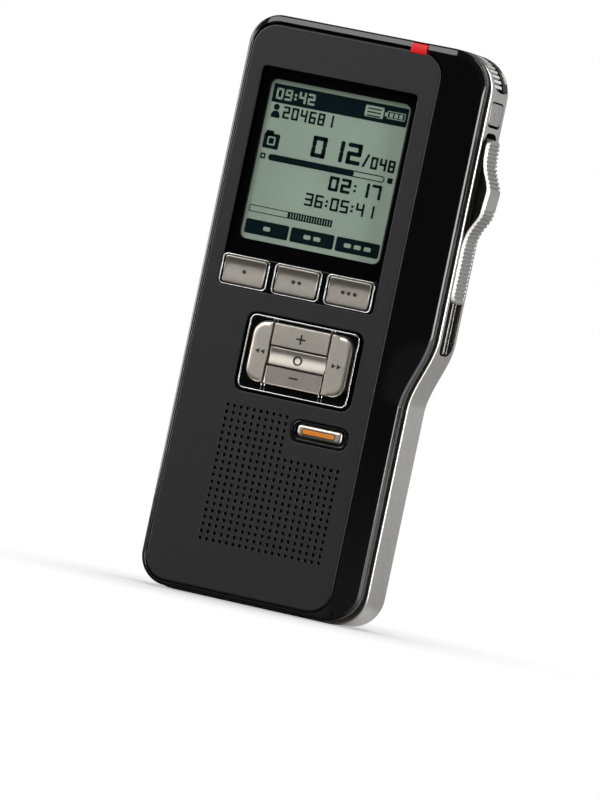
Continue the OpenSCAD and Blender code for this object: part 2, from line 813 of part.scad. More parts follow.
module slide_carrier() {
    color([0.85, 0.85, 0.83]) union() {
        block(track_in - 2, track_in - 0.2, -1.8, 3.8, knob_low + 5, knob_top - 7);
        block(track_in - 3.4, track_in - 1.9, 0.5, 1.5, 79, 81);
    }
}

module slide_switch_body() {
    color([0.3, 0.3, 0.31]) difference() {
        block(16, track_in - 2.2, -2.4, 4.6, 66, 94);
        block(track_in - 3.7, track_in, 0.2, 1.8, 79 - knob_down - 0.5, 81 + knob_up + 0.5);
    }
}

module new_button() {
    color(silver) union() {
        block(x_right - wall - 0.9, x_right + 0.1, control_front, control_back,
            new_low, new_low + new_h);
        block(x_right - wall - 0.9, x_right - wall - 0.15, control_front - 0.4, control_back + 0.4,
            new_low - 0.6, new_low + new_h + 0.6);
    }
}

module new_switch() {
    color(matt_black) union() {
        block(17.6, x_right - wall - 1.6, -1.4, 3.4, new_low - 0.2, new_low + new_h + 0.2);
        rod_x(1, new_low + new_h / 2, 0.8, x_right - wall - 1.7, x_right - wall - 1.35);
    }
}

// ---- Left side ----------------------------------------------------------------------------

module hold_knob() {
    color(silver) difference() {
        union() {
            block(x_left - 0.6, x_left + wall + 0.3, -0.6, 2.6, hold_low, hold_low + 5.4);
            block(x_left + wall + 0.15, x_left + wall + 0.9, -2, 4, hold_low - 1.4, hold_low + 6.8);
        }
        for (i = [0:4])
            block(x_left - 1, x_left - 0.35, -1, 3, hold_low + 0.65 + i * 0.9, hold_low + 1.1 + i * 0.9);
    }
}

module hold_switch_body() {
    color([0.3, 0.3, 0.31]) block(x_left + wall + 1.1, x_left + wall + 3.8, -2, 4, 85, 94);
}

module card_door() {
    color(silver) difference() {
        union() {
            block(x_left, x_left + 1.2, -2.3, door_hinge_y, door_low, door_low + door_len);
            rod_z(door_hinge_x, door_hinge_y, door_knuckle, door_low, door_low + door_len);
        }
        rod_z(door_hinge_x, door_hinge_y, door_pin_r + pin_gap, door_low - eps,
            door_low + door_len + eps);
        // Finger notch
        block(x_left - eps, x_left + 0.5, -2.5, -1.7, door_low + 5, door_low + door_len - 5);
    }
}

module door_hinge_pin() {
    color(chrome) rod_z(door_hinge_x, door_hinge_y, door_pin_r, door_low - 2, door_low + door_len + 2);
}

module card_slot() {
    color(chrome) difference() {
        block(-22.2, -7, y_main_back, y_main_back + 1.7, 66.4, 80.4);
        block(-22.4, -7.6, y_main_back + 0.3, y_main_back + 1.4, 67.8, 79);
    }
}

module memory_card() {
    color(matt_black) block(-22.7, -7.7, y_main_back + 0.35, y_main_back + 1.35, 67.9, 78.9);
}

module strap_bar() {
    color(chrome) rod_y(x_left + 1.3, 100.9, 0.7, -2.3, 4.3);
}

// ---- Top and bottom -----------------------------------------------------------------------

// Jack body with a round collar in the case's top
module jack(x) {
    color(matt_black) difference() {
        union() {
            block(x - 3.3, x + 3.3, y_main_back, y_main_back + 6.5, body_h - 15.6, body_h - wall - 0.1);
            rod_z(x, y_jack, 2.75, body_h - wall - 0.2, body_h - 0.1);
        }
        rod_z(x, y_jack, jack_r, body_h - 0.1 - jack_depth, body_h + eps);
    }
}

module ear_jack() {
    jack(ear_x);
}

module mic_jack() {
    jack(mic_x);
}

module usb_port() {
    color(chrome) union() {
        difference() {
            block(usb_x - 3.8, usb_x + 3.8, -1.1, 2.8, 0.3, 9.3);
            block(usb_x - 3.45, usb_x + 3.45, -0.75, 2.45, -eps, 8.6);
        }
        block(usb_x - 2.2, usb_x + 2.2, 0.6, 1.1, 2, 8.7);
    }
}

module dock_connector() {
    pins = 10;
    color(matt_black) union() {
        difference() {
            block(dock_x - 7.3, dock_x + 7.3, -0.8, 2.8, 0.4, 8);
            block(dock_x - 6.3, dock_x + 6.3, 0, 2, -eps, 6);
        }
        for (i = [0:pins - 1]) let (x = dock_x + (i - (pins - 1) / 2) * 1.2)
            block(x - 0.3, x + 0.3, 0.7, 1.3, 1.4, 6.1);
    }
}

// ---- Battery bay --------------------------------------------------------------------------

cell_left_x = bay_x - cell_pitch / 2;
cell_right_x = bay_x + cell_pitch / 2;

module battery_tray() {
    l = bay_x - 11.8;
    r = bay_x + 11.8;
    color(matt_black) difference() {
        block(l, r, y_front + 4.65, y_front + 13.5, bay_low, bay_high);
        block(l + 0.7, r - 0.7, y_front + 5.1, y_front + 14, bay_low + 0.6, bay_high - 0.6);
        for (x = [cell_left_x, cell_right_x])
            block(x - 2, x + 2, y_front + 4, y_front + 6, 20, 52);
    }
}

// AAA cell with its nub at one end; way is 1 for nub up and -1 for nub down
module cell(x, way) {
    mid = cell_low + cell_len / 2;
    nub = 0.9;
    translate([x, cell_y, mid]) rotate([way > 0 ? 0 : 180, 0, 0]) union() {
        translate([0, 0, -cell_len / 2]) cylinder(h = cell_len - nub, r = cell_r);
        translate([0, 0, cell_len / 2 - nub - 0.1]) cylinder(h = nub + 0.1, r = 1.9);
    }
}

module battery_left() {
    color([0.75, 0.55, 0.2]) cell(cell_left_x, 1);
}

module battery_right() {
    color([0.75, 0.55, 0.2]) cell(cell_right_x, -1);
}

// Contact plate that stands across one end of a cell
module contact(x0, x1, z) {
    block(x0, x1, cell_y - 4, cell_y + 3, z, z + 0.3);
}

module battery_bridge() {
    color(chrome) union() {
        contact(cell_left_x - 3.5, cell_right_x + 3.5, bay_low + 0.7);
        coil(cell_left_x, cell_y, bay_low + 1.27, cell_low - 0.28, 3, 1.9, 0.25, 2);
    }
}

module battery_terminals() {
    top = bay_high - 1;
    color(chrome) union() {
        contact(cell_left_x - 3.5, cell_left_x + 3.5, top);
        contact(cell_right_x - 3.5, cell_right_x + 3.5, top);
        coil(cell_right_x, cell_y, cell_low + cell_len + 0.28, top - 0.27, 1.9, 3, 0.25, 3);
    }
}

module battery_cover() {
    color(matt_black) difference() {
        union() {
            block(cover_left, cover_right, y_back - cover_t, y_back, cover_hinge_z, cover_top);
            rod_x(cover_hinge_y, cover_hinge_z, cover_knuckle, cover_left, cover_right);
        }
        rod_x(cover_hinge_y, cover_hinge_z, cover_pin_r + pin_gap, cover_left - eps, cover_right + eps);
        // Finger grooves
        for (i = [0:4])
            block(bay_x - 6, bay_x + 6, y_back - 0.3, y_back + eps, cover_top - 8 + i * 1.3,
                cover_top - 7.4 + i * 1.3);
    }
}

module cover_hinge_pin() {
    color(chrome) rod_x(cover_hinge_y, cover_hinge_z, cover_pin_r, cover_left - 2.4, cover_right + 2.4);
}

module cover_release() {
    color(silver) union() {
        plate(bay_x - release_half, bay_x + release_half, release_low, release_low + release_h, 0.7,
            y_back - 2, y_back + 0.1);
        block(bay_x - release_half - 0.8, bay_x + release_half + 0.8, y_back - 2,
            y_back - cover_t - 0.1, release_low - 0.8, release_low + release_h + 0.8);
    }
}

// ---- Assembly -----------------------------------------------------------------------------

front_shell();
front_panel();
side_frame();
rear_shell();
display_window();
display_module();
display_holder();
function_key_bezel();
nav_bezel();
erase_bezel();
record_light();
mic_grille();
microphone();
slide_track();
slide_switch_body();
slide_knob();
slide_carrier();
new_button();
new_switch();
hold_knob();
hold_switch_body();
f1_key();
f2_key();
f3_key();
plus_key();
minus_key();
ok_key();
rewind_key();
forward_key();
erase_button();
erase_inlay();
keypad_membrane();
key_domes();
key_board();
main_board();
io_board();
board_flex();
processor_shield();
speaker();
speaker_cloth();
ear_jack();
mic_jack();
usb_port();
dock_connector();
strap_bar();
battery_tray();
battery_left();
battery_right();
battery_bridge();
battery_terminals();
battery_cover();
cover_hinge_pin();
cover_release();
card_slot();
memory_card();
card_door();
door_hinge_pin();
rating_plate();
case_screws();
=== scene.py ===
"""Looks for a handheld voice recorder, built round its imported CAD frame.

Shapes are worked out in millimetres in the frame's axes (+X right, +Y back, +Z up), and turned into metres
when a mesh is made. A flat outline is a list of (x, z) points; an "inset" moves an outline into its material.
"""
import math
from typing import NamedTuple

import bmesh
import bpy
from mathutils import Matrix, Vector


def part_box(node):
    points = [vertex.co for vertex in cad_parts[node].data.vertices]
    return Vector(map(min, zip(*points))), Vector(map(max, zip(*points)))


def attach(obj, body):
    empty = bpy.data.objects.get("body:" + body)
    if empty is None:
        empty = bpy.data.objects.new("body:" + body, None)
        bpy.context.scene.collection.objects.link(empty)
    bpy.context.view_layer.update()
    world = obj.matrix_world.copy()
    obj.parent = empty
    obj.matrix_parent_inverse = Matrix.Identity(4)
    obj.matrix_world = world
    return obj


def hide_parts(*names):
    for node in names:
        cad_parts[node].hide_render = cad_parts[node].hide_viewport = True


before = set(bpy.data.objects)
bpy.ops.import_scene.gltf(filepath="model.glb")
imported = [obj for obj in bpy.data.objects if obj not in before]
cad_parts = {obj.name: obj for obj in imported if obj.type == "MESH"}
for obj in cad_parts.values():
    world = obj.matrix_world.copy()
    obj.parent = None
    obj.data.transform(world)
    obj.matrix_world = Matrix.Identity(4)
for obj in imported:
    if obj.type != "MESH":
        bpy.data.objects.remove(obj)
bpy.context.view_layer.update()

# ---- The frame's sizes ------------------------------------------------------------------------

MM = 0.001


class Span(NamedTuple):
    """A box in millimetres."""
    x0: float
    x1: float
    y0: float
    y1: float
    z0: float
    z1: float

    @property
    def middle(self):
        return Vector(((self.x0 + self.x1) / 2, (self.y0 + self.y1) / 2, (self.z0 + self.z1) / 2))

    def face(self, grow=0.0):
        """Its rectangle seen from the front, grown on every side."""
        return self.x0 - grow, self.x1 + grow, self.z0 - grow, self.z1 + grow

    def back_face(self, grow=0.0):
        """Its rectangle as built facing the front, for a piece that is then turned to the back."""
        return -self.x1 - grow, -self.x0 + grow, self.z0 - grow, self.z1 + grow


def span(node):
    """A CAD node's box in millimetres."""
    low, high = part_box(node)
    return Span(low.x / MM, high.x / MM, low.y / MM, high.y / MM, low.z / MM, high.z / MM)


BAND = span("side_frame")
PANEL = span("front_panel")
REAR = span("rear_shell")
WINDOW = span("display_window")
LCD = span("display_module")
COVER = span("battery_cover")
KNOB = span("slide_knob")
TRACK = span("slide_track")
PAD = span("nav_bezel")
FKEYS = span("function_key_bezel")
PILL = span("erase_bezel")
LIGHT = span("record_light")
DOOR = span("card_door")
HOLD = span("hold_knob")
LEFT, RIGHT, TOP = BAND.x0, BAND.x1, BAND.z1
FRONT, BACK = PANEL.y0, REAR.y1
FLOOR = PANEL.y1

WAIST_STEP = 3.45
WAIST_LOW = 43.5
WAIST_HIGH = 58.0
CORNER_LEFT = 6.0
CORNER_TOP = 7.5
CORNER_LOW = 6.5
WALL = 1.3
# The new-file button's cap, the slot of the slide switch and the strap's pocket
NEW = Span(0, 0, -1.9, 4.9, 100.5, 104.8)
SLOT_LOW, SLOT_HIGH = 55, 99
POCKET = Span(LEFT + 0.9, LEFT + 3.6, -1.4, 3.4, 98.4, 103.4)
SCREW_HEAD = 1.5
# Speaker holes: short rows beside the erase button, then long ones
HOLE_PITCH = 1.386
HOLE_R = 0.36
HOLE_X0, HOLE_TOP = -13.28, 37.36
HOLE_ROWS = [10] * 6 + [19] * 14
# A turned solid's profile starts this close to its axis
AXIS = 0.001
ARC_STEPS = 12
WAIST_STEPS = 24


# ---- Outlines ---------------------------------------------------------------------------------

def arc(cx, cz, r, a0, a1, n=ARC_STEPS):
    angles = [math.radians(a0 + (a1 - a0) * i / n) for i in range(n + 1)]
    return [(cx + r * math.cos(a), cz + r * math.sin(a)) for a in angles]


def ease(s):
    s = min(max(s, 0.0), 1.0)
    return s * s * (3 - 2 * s)


def right_edge(z, upper, lower):
    """The right edge's x at height z, with its S-shaped waist."""
    return lower + (upper - lower) * ease((z - WAIST_LOW) / (WAIST_HIGH - WAIST_LOW))


def outline(left, upper, lower, low, top, rl, rt, rb):
    waist = [WAIST_HIGH + (WAIST_LOW - WAIST_HIGH) * i / WAIST_STEPS for i in range(WAIST_STEPS + 1)]
    return (arc(left + rl, top - rl, rl, 180, 90) + arc(upper - rt, top - rt, rt, 90, 0)
            + [(right_edge(z, upper, lower), z) for z in waist]
            + arc(lower - rb, low + rb, rb, 0, -90) + arc(left + rl, low + rl, rl, -90, -180))


def case_outline(e, left=None, right=None):
    """The case's outline moved inwards by e, or by other amounts at the left and the right."""
    left = e if left is None else left
    right = e if right is None else right
    return outline(LEFT + left, RIGHT - right, RIGHT - WAIST_STEP - right, e, TOP - e,
                   CORNER_LEFT - e, CORNER_TOP - e, CORNER_LOW - e)


def panel_outline(out, top=None, corner=4.75):
    """The panel's outline moved outwards, with as many points as the case's outline."""
    top = out if top is None else top
    x1 = PANEL.x1 + out
    return outline(PANEL.x0 - out, x1, x1, PANEL.z0 - out, PANEL.z1 + top,
                   corner + out, corner + out, corner + out)


def round_rect(x0, x1, z0, z1, r, n=6):
    return (arc(x0 + r, z1 - r, r, 180, 90, n) + arc(x1 - r, z1 - r, r, 90, 0, n)
            + arc(x1 - r, z0 + r, r, 0, -90, n) + arc(x0 + r, z0 + r, r, -90, -180, n))


def rect_loop(x0, x1, z0, z1, r, hole=False):
    """A rounded rectangle as a function of its inset; a hole grows where a plate shrinks."""
    sign = -1 if hole else 1

    def at(e):
        d = sign * e
        return round_rect(x0 + d, x1 - d, z0 + d, z1 - d, max(r - d, 0.02))
    return at


def circle_loop(cx, cz, r, n=14):
    """A round hole as a function of its inset."""
    return lambda e: [(cx + (r + e) * math.cos(a), cz + (r + e) * math.sin(a))
                      for a in (2 * math.pi * i / n for i in range(n))]


# ---- Mesh helpers -----------------------------------------------------------------------------

def mark_sharp(bm, limit=32.0):
    """Shades every face smooth, and keeps the edges sharper than limit crisp."""
    for face in bm.faces:
        face.smooth = True
    for edge in bm.edges:
        edge.smooth = len(edge.link_faces) == 2 and edge.calc_face_angle(0.0) < math.radians(limit)


def piece(name, bm, limit=32.0):
    """A new object from a bmesh that is in millimetres."""
    bmesh.ops.remove_doubles(bm, verts=bm.verts, dist=1e-5)
    bmesh.ops.recalc_face_normals(bm, faces=bm.faces)
    mark_sharp(bm, limit)
    bmesh.ops.scale(bm, vec=(MM, MM, MM), verts=bm.verts)
    mesh = bpy.data.meshes.new(name)
    bm.to_mesh(mesh)
    bm.free()
    obj = bpy.data.objects.new(name, mesh)
    bpy.context.scene.collection.objects.link(obj)
    return obj


def strip(bm, rings):
    """Quads between neighbouring rings of vertices."""
    for a, b in zip(rings, rings[1:]):
        for i in range(len(a)):
            j = (i + 1) % len(a)
            bm.faces.new((a[i], b[i], b[j], a[j]))


def loft(name, rings, limit=32.0):
    """A closed solid through rings of (x, y, z) points, capped at both ends."""
    bm = bmesh.new()
    made = [[bm.verts.new(p) for p in ring] for ring in rings]
    strip(bm, made)
    bm.faces.new(made[0])
    bm.faces.new(made[-1])
    return piece(name, bm, limit)


def at_depth(points, y):
    """An outline as 3D points; y is a depth, or a function of x and z."""
    return [(x, y(x, z) if callable(y) else y, z) for x, z in points]


def prism(name, points, y0, y1):
    return loft(name, [at_depth(points, y0), at_depth(points, y1)])


def round_over(edge, steps):
    """(inset, depth) along a quarter round, from the face to the side."""
    turns = [math.radians(90 * i / steps) for i in range(steps + 1)]
    return [(edge * (1 - math.sin(a)), edge * (1 - math.cos(a))) for a in turns]


def slab(name, loops, y0, y1):
    """A plate from y0 (its face) to y1 with holes. Each loop is (function of inset, edge radius, steps)."""
    bm = bmesh.new()
    faces, backs = [], []
    for at, edge, steps in loops:
        face = [(edge * 1.15, 0.0)] + round_over(edge, steps)
        rings = [[bm.verts.new(p) for p in at_depth(at(e), y0 + d)] for e, d in face]
        rings.append([bm.verts.new(p) for p in at_depth(at(0.0), y1)])
        strip(bm, rings)
        faces.append(rings[0])
        backs.append(rings[-1])
    for side in (faces, backs):
        edges = [bm.edges.get((ring[i - 1], ring[i])) for ring in side for i in range(len(ring))]
        bmesh.ops.triangle_fill(bm, use_beauty=True, use_dissolve=False, edges=edges)
    return piece(name, bm)


def pillow(name, at, y_face, y_back, edge, steps, shape, insets, limit=50.0):
    """A solid key: rounded outer edge, then a face through more insets that shape(x, z) pushes in or out."""
    rings = [at_depth(at(0.0), y_back)]
    rings += [at_depth(at(e), y_face + d) for e, d in reversed(round_over(edge, steps))]
    rings += [at_depth(at(e), y_face) for e in insets]
    if shape:
        reach = edge + 1e-6
        rings = rings[:1] + [[(x, y + shape(x, z) * max(0.0, 1 - (y - y_face) / reach), z)
                              for x, y, z in ring] for ring in rings[1:]]
    return loft(name, rings, limit)


def block(name, x0, x1, y0, y1, z0, z1, edge=0.0, steps=2):
    """A box with every edge rounded."""
    bm = bmesh.new()
    bmesh.ops.create_cube(bm, size=1.0)
    for v in bm.verts:
        v.co = ((x0 + x1) / 2 + v.co.x * (x1 - x0), (y0 + y1) / 2 + v.co.y * (y1 - y0),
                (z0 + z1) / 2 + v.co.z * (z1 - z0))
    if edge:
        bmesh.ops.bevel(bm, geom=bm.edges[:], offset=edge, segments=steps, profile=0.5, affect="EDGES")
    return piece(name, bm, 40.0)


def lathe(name, profile, spot, axis="Z", steps=48):
    """A turned solid from a closed profile of (radius, height), about an axis through spot."""
    bm = bmesh.new()
    rings = []
    for r, h in profile:
        rings.append([bm.verts.new((r * math.cos(a), r * math.sin(a), h))
                      for a in (2 * math.pi * i / steps for i in range(steps))])
    strip(bm, rings + rings[:1])
    turn = {"X": Matrix.Rotation(math.pi / 2, 4, "Y"), "Y": Matrix.Rotation(-math.pi / 2, 4, "X"),
            "Z": Matrix.Identity(4)}[axis]
    bmesh.ops.transform(bm, matrix=Matrix.Translation(spot) @ turn, verts=bm.verts)
    return piece(name, bm)


def tube(inner, outer, low, high):
    """A turned tube's profile."""
    return [(inner, low), (outer, low), (outer, high), (inner, high)]


def rod(r, low, high):
    """A turned rod's profile."""
    return tube(AXIS, r, low, high)


def facing(obj, side):
    """Turns a piece built facing the front. On the right its x becomes the world's y, its face at -x."""
    turn = {"right": 90, "back": 180, "left": -90}[side]
    obj.data.transform(Matrix.Rotation(math.radians(turn), 4, "Z"))
    return obj


def bake(obj, limit):
    """Applies an object's modifiers to its mesh."""
    graph = bpy.context.evaluated_depsgraph_get()
    mesh = bpy.data.meshes.new_from_object(obj.evaluated_get(graph))
    obj.modifiers.clear()
    obj.data = mesh
    bm = bmesh.new()
    bm.from_mesh(mesh)
    mark_sharp(bm, limit)
    bm.to_mesh(mesh)
    bm.free()
    return obj


def combine(obj, others, operation, limit=32.0):
    """Cuts, adds or intersects other objects with obj, one after another, and deletes them."""
    for other in others:
        step = obj.modifiers.new(operation.lower(), "BOOLEAN")
        step.operation = operation
        step.solver = "MANIFOLD"
        step.object = other
    bake(obj, limit)
    for other in others:
        bpy.data.objects.remove(other)
    return obj


def carve(obj, *cutters, limit=32.0):
    return combine(obj, cutters, "DIFFERENCE", limit)


def soften(obj, width, steps, angle, limit=32.0):
    """Rounds an object's hard edges."""
    step = obj.modifiers.new("soften", "BEVEL")
    step.width = width * MM
    step.segments = steps
    step.limit_method = "ANGLE"
    step.angle_limit = math.radians(angle)
    return bake(obj, limit)


def join(name, objects):
    """One object from several, each keeping its own material."""
    target = objects[0]
    with bpy.context.temp_override(active_object=target, selected_editable_objects=list(objects)):
        bpy.ops.object.join()
    target.name = name
    target.data.name = name
    return target


def place(obj, material, body="case", stands_for=()):
    """Gives a piece its material and its body."""
    obj.data.materials.clear()
    obj.data.materials.append(material)
    obj.modifiers.new("even_shading", "WEIGHTED_NORMAL").keep_sharp = True
    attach(obj, body)
    if stands_for:
        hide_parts(*stands_for)
    return obj


# ---- Materials --------------------------------------------------------------------------------

def blank_material(name):
    material = bpy.data.materials.new(name)
    material.use_nodes = True
    tree = material.node_tree
    return material, tree, tree.nodes["Principled BSDF"]


def feed(tree, node, inputs):
    """Sets sockets by name or number, to a plain value or to the output that feeds them."""
    for key, value in inputs.items():
        if isinstance(value, bpy.types.NodeSocket):
            tree.links.new(value, node.inputs[key])
        else:
            node.inputs[key].default_value = value


def add_node(tree, kind, inputs, **settings):
    node = tree.nodes.new("ShaderNode" + kind)
    for key, value in settings.items():
        setattr(node, key, value)
    feed(tree, node, inputs)
    return node


def noise(tree, scale, detail=3.0, stretch=(1, 1, 1)):
    """A noise texture in millimetres of object space; scale is its count per millimetre."""
    coords = add_node(tree, "TexCoord", {})
    mapping = add_node(tree, "Mapping", {"Vector": coords.outputs["Object"],
                                         "Scale": [scale * s / MM for s in stretch]})
    return add_node(tree, "TexNoise", {"Vector": mapping.outputs["Vector"], "Scale": 1.0,
                                       "Detail": detail}).outputs["Fac"]


def remap(tree, value, low, high, start=0.3, end=0.7):
    """Carries start..end over to low..high, and holds the ends."""
    return add_node(tree, "MapRange", {"Value": value, "From Min": start, "From Max": end, "To Min": low,
                                       "To Max": high}).outputs["Result"]


def mix_colour(tree, factor, a, b):
    """Mixes two colours; each is an output or three numbers."""
    a, b = (c if isinstance(c, bpy.types.NodeSocket) else (*c, 1.0) for c in (a, b))
    return add_node(tree, "Mix", {0: factor, 6: a, 7: b}, data_type="RGBA").outputs[2]


def edge_mask(tree, radius):
    """1 on edges that hands rub, 0 on flats."""
    bevel = add_node(tree, "Bevel", {"Radius": radius * MM}, samples=4)
    geometry = add_node(tree, "NewGeometry", {})
    dot = add_node(tree, "VectorMath", {0: bevel.outputs["Normal"], 1: geometry.outputs["Normal"]},
                   operation="DOT_PRODUCT")
    return remap(tree, dot.outputs["Value"], 0.0, 1.0, 0.995, 0.9)


def finish(name, colour, rough, metal=0.0, coat=0.0, grain=6.0, rough_spread=0.06, bump=0.0, bump_scale=12.0,
           stretch=(1, 1, 1), tone=0.06, wear=None, wear_radius=0.12, alpha=1.0, glow=0.0, shine=0.5):
    """A painted, moulded or metal finish: uneven tone and roughness, a fine bump, and wear on edges."""
    material, tree, shader = blank_material(name)
    patches = remap(tree, noise(tree, grain * 0.05, 2.0, stretch), 0.0, 1.0)
    dark, light = (tuple(min(c * share, 1.0) for c in colour) for share in (1 - tone, 1 + tone))
    shade = mix_colour(tree, patches, dark, light)
    if wear:
        shade = mix_colour(tree, edge_mask(tree, wear_radius), shade, wear)
    fine = noise(tree, grain, 3.0, stretch)
    roughness = remap(tree, fine, max(rough - rough_spread, 0.01), rough + rough_spread)
    feed(tree, shader, {"Base Color": shade, "Roughness": roughness, "Metallic": metal, "Coat Weight": coat,
                        "Coat Roughness": 0.04, "Specular IOR Level": shine, "Alpha": alpha})
    if glow:
        feed(tree, shader, {"Emission Color": shade, "Emission Strength": glow})
    if bump:
        relief = add_node(tree, "Bump", {"Strength": bump, "Distance": 0.02 * MM,
                                         "Height": noise(tree, bump_scale, 2.0, stretch)})
        feed(tree, shader, {"Normal": relief.outputs["Normal"]})
    return material


GLOSS_BLACK = finish("gloss_black", (0.004, 0.004, 0.0045), 0.08, grain=0.8, rough_spread=0.03, bump=0.02,
                     bump_scale=0.3, wear=(0.015, 0.015, 0.017))
CHARCOAL = finish("charcoal_satin", (0.018, 0.018, 0.019), 0.42, metal=0.25, grain=9.0, rough_spread=0.05,
                  bump=0.18, bump_scale=14.0, tone=0.08, wear=(0.06, 0.06, 0.065), wear_radius=0.1)
SILVER = finish("satin_silver", (0.42, 0.41, 0.385), 0.3, metal=1.0, grain=8.0, rough_spread=0.05, bump=0.1,
                bump_scale=16.0, tone=0.05, wear=(0.6, 0.59, 0.56))
MATT_BLACK = finish("matt_black", (0.02, 0.02, 0.021), 0.55, grain=7.0, bump=0.5, bump_scale=7.0, tone=0.12,
                    wear=(0.035, 0.035, 0.036))
# The second is a lighter copy of the same champagne metal for the pad and erase keys: painted light, standing
# in for the brighter reflections those keys catch.
CHAMPAGNE, LIT_CHAMPAGNE = (
    finish(name, colour, 0.33, metal=1.0, grain=12.0, rough_spread=0.05, bump=0.14, bump_scale=20.0,
           tone=0.04, wear=(0.72, 0.69, 0.63), wear_radius=0.08)
    for name, colour in (("champagne_metal", (0.43, 0.4, 0.352)), ("champagne_painted_lighter", (0.7, 0.65, 0.575))))
CHROME = finish("bright_chrome", (0.82, 0.82, 0.81), 0.08, metal=1.0, grain=3.0, rough_spread=0.03, tone=0.03)
# Pale metal, partly diffuse so the louvres look bright without a reflection to catch: their colour plus
# painted light. It also colours the microphone cap's painted highlight strip.
PALE_METAL_AND_HIGHLIGHT = finish("pale_metal_and_painted_highlight", (0.86, 0.86, 0.84), 0.34, metal=0.4, grain=6.0, bump=0.05)
MIC_BLACK = finish("microphone_black", (0.004, 0.004, 0.004), 0.2, grain=2.0, rough_spread=0.03, shine=0.06)
PRINT = finish("black_print", (0.003, 0.003, 0.0035), 0.5, grain=4.0, rough_spread=0.05, bump=0.02, shine=0.0)
ORANGE = finish("orange_inlay", (0.85, 0.27, 0.03), 0.25, coat=0.4, grain=5.0, tone=0.08, bump=0.05)
STEEL = finish("plain_steel", (0.5, 0.5, 0.49), 0.26, metal=1.0, grain=10.0, stretch=(1, 1, 6), bump=0.1)
CLOTH = finish("speaker_cloth", (0.006, 0.006, 0.006), 0.95, grain=10.0, bump=0.9, bump_scale=9.0)

# Print on the keys and the label; the erase bar's painted shadow ring uses it too.
KEY_PRINT_AND_SHADE = finish("key_print_and_painted_shade", (0.02, 0.019, 0.017), 0.5, grain=8.0)
# The display's glow is painted light: an even glow that brightens the screen and fills the shade at its edges.
# It is not a backlight.
LCD_GREEN_GLOW = finish("display_green_painted_glow", (0.3, 0.385, 0.31), 0.5, grain=2.0, tone=0.05, glow=0.22, shine=0.1)
LCD_INK = finish("display_ink", (0.006, 0.016, 0.019), 0.5, grain=2.0, shine=0.0)
LENS = finish("clear_lens", (0.0, 0.0, 0.0), 0.04, grain=1.0, rough_spread=0.02, alpha=0.06)
RED = finish("red_lens", (0.62, 0.012, 0.014), 0.25, grain=2.0, rough_spread=0.03, glow=0.12, shine=0.15)

KNOB_GREY = finish("knob_satin_grey", (0.37, 0.362, 0.35), 0.36, metal=0.9, grain=9.0, bump=0.12,
                   bump_scale=14.0, wear=(0.48, 0.47, 0.455), wear_radius=0.09)
DARK_CHROME = finish("dark_chrome", (0.2, 0.18, 0.15), 0.14, metal=1.0, grain=2.0, rough_spread=0.03)
GOLD = finish("gold_plating", (0.8, 0.55, 0.2), 0.22, metal=1.0, grain=6.0)
LABEL = finish("blank_label", (0.42, 0.42, 0.41), 0.38, metal=0.6, grain=12.0, stretch=(1, 1, 0.1), bump=0.08)
CELL_DARK = finish("cell_sleeve", (0.03, 0.03, 0.033), 0.25, coat=0.4, grain=3.0, bump=0.05)
CELL_COPPER = finish("cell_band", (0.62, 0.3, 0.12), 0.25, metal=0.8, grain=3.0, bump=0.05)
SILICONE = finish("silicone", (0.5, 0.5, 0.48), 0.5, grain=4.0, bump=0.1)
FLEX = finish("amber_film", (0.5, 0.22, 0.04), 0.3, grain=3.0)
CARD_BLUE = finish("card_plastic", (0.012, 0.03, 0.09), 0.35, grain=6.0, bump=0.1)


def board_material():
    """Green solder mask with fine tracks under it."""
    material, tree, shader = blank_material("circuit_board")
    coords = add_node(tree, "TexCoord", {})
    mapping = add_node(tree, "Mapping", {"Vector": coords.outputs["Object"], "Rotation": (math.pi / 2, 0, 0)})
    tracks = add_node(tree, "TexBrick", {"Vector": mapping.outputs["Vector"], "Scale": 700.0,
                                         "Mortar Size": 0.012, "Mortar": (0.02, 0.16, 0.06, 1),
                                         "Color1": (0.006, 0.07, 0.03, 1), "Color2": (0.008, 0.09, 0.035, 1)})
    spots = remap(tree, noise(tree, 1.2, 1.0), -2.2, 1.2)
    feed(tree, shader, {"Base Color": mix_colour(tree, spots, tracks.outputs["Color"], (0.45, 0.42, 0.36)),
                        "Roughness": remap(tree, noise(tree, 5.0), 0.2, 0.4)})
    return material


BOARD = board_material()

# ---- Case -------------------------------------------------------------------------------------

FLANK_DROP = 2.6
FLANK_START = PANEL.x1 + 0.3
SHELL_FACE = FRONT + 0.15
SHELL_SIDE = 0.6
SHELL_EDGE = 0.6
SHELL_TOP_EDGE = 1.35
SHELL_TOP_DROP = 0.82


def shell_ring(e, top=None):
    """The front shell's outline, e in from its outermost size, and top in from its top."""
    top = e if top is None else top
    left, right = 0.1 + e, SHELL_SIDE + e
    return outline(LEFT + left, RIGHT - right, RIGHT - WAIST_STEP - right, 0.45 + e, TOP - 0.1 - top,
                   CORNER_LEFT - left, CORNER_TOP - right, CORNER_LOW - e)


def shell_face(x, z):
    """Depth of the front shell's face: level, then sloping back along the right flank."""
    outer = right_edge(z, RIGHT - SHELL_SIDE, RIGHT - WAIST_STEP - SHELL_SIDE)
    share = min(max((x - FLANK_START) / (outer - FLANK_START), 0.0), 1.0)
    return SHELL_FACE + FLANK_DROP * share


def edge_profile():
    """The edge's chamfer with rounded ends: shares of width and depth at the sides, then along the top."""
    side = [(0.16 * math.sin(a), 0.13 * (1 - math.cos(a))) for a in (math.radians(d) for d in (15, 30, 45))]
    side += [(0.3, 0.1), (0.86, 0.46), (0.93, 0.6), (0.98, 0.8), (1.0, 1.0)]
    top = [(0.01, 0.003), (0.025, 0.009), (0.04, 0.017), (0.06, 0.03), (0.74, 0.455), (0.86, 0.6),
           (0.95, 0.8), (1.0, 1.0)]
    return [(*low, *high) for low, high in zip(side, top)]


def near_top(z):
    return ease((z - (TOP - 5)) / 4)


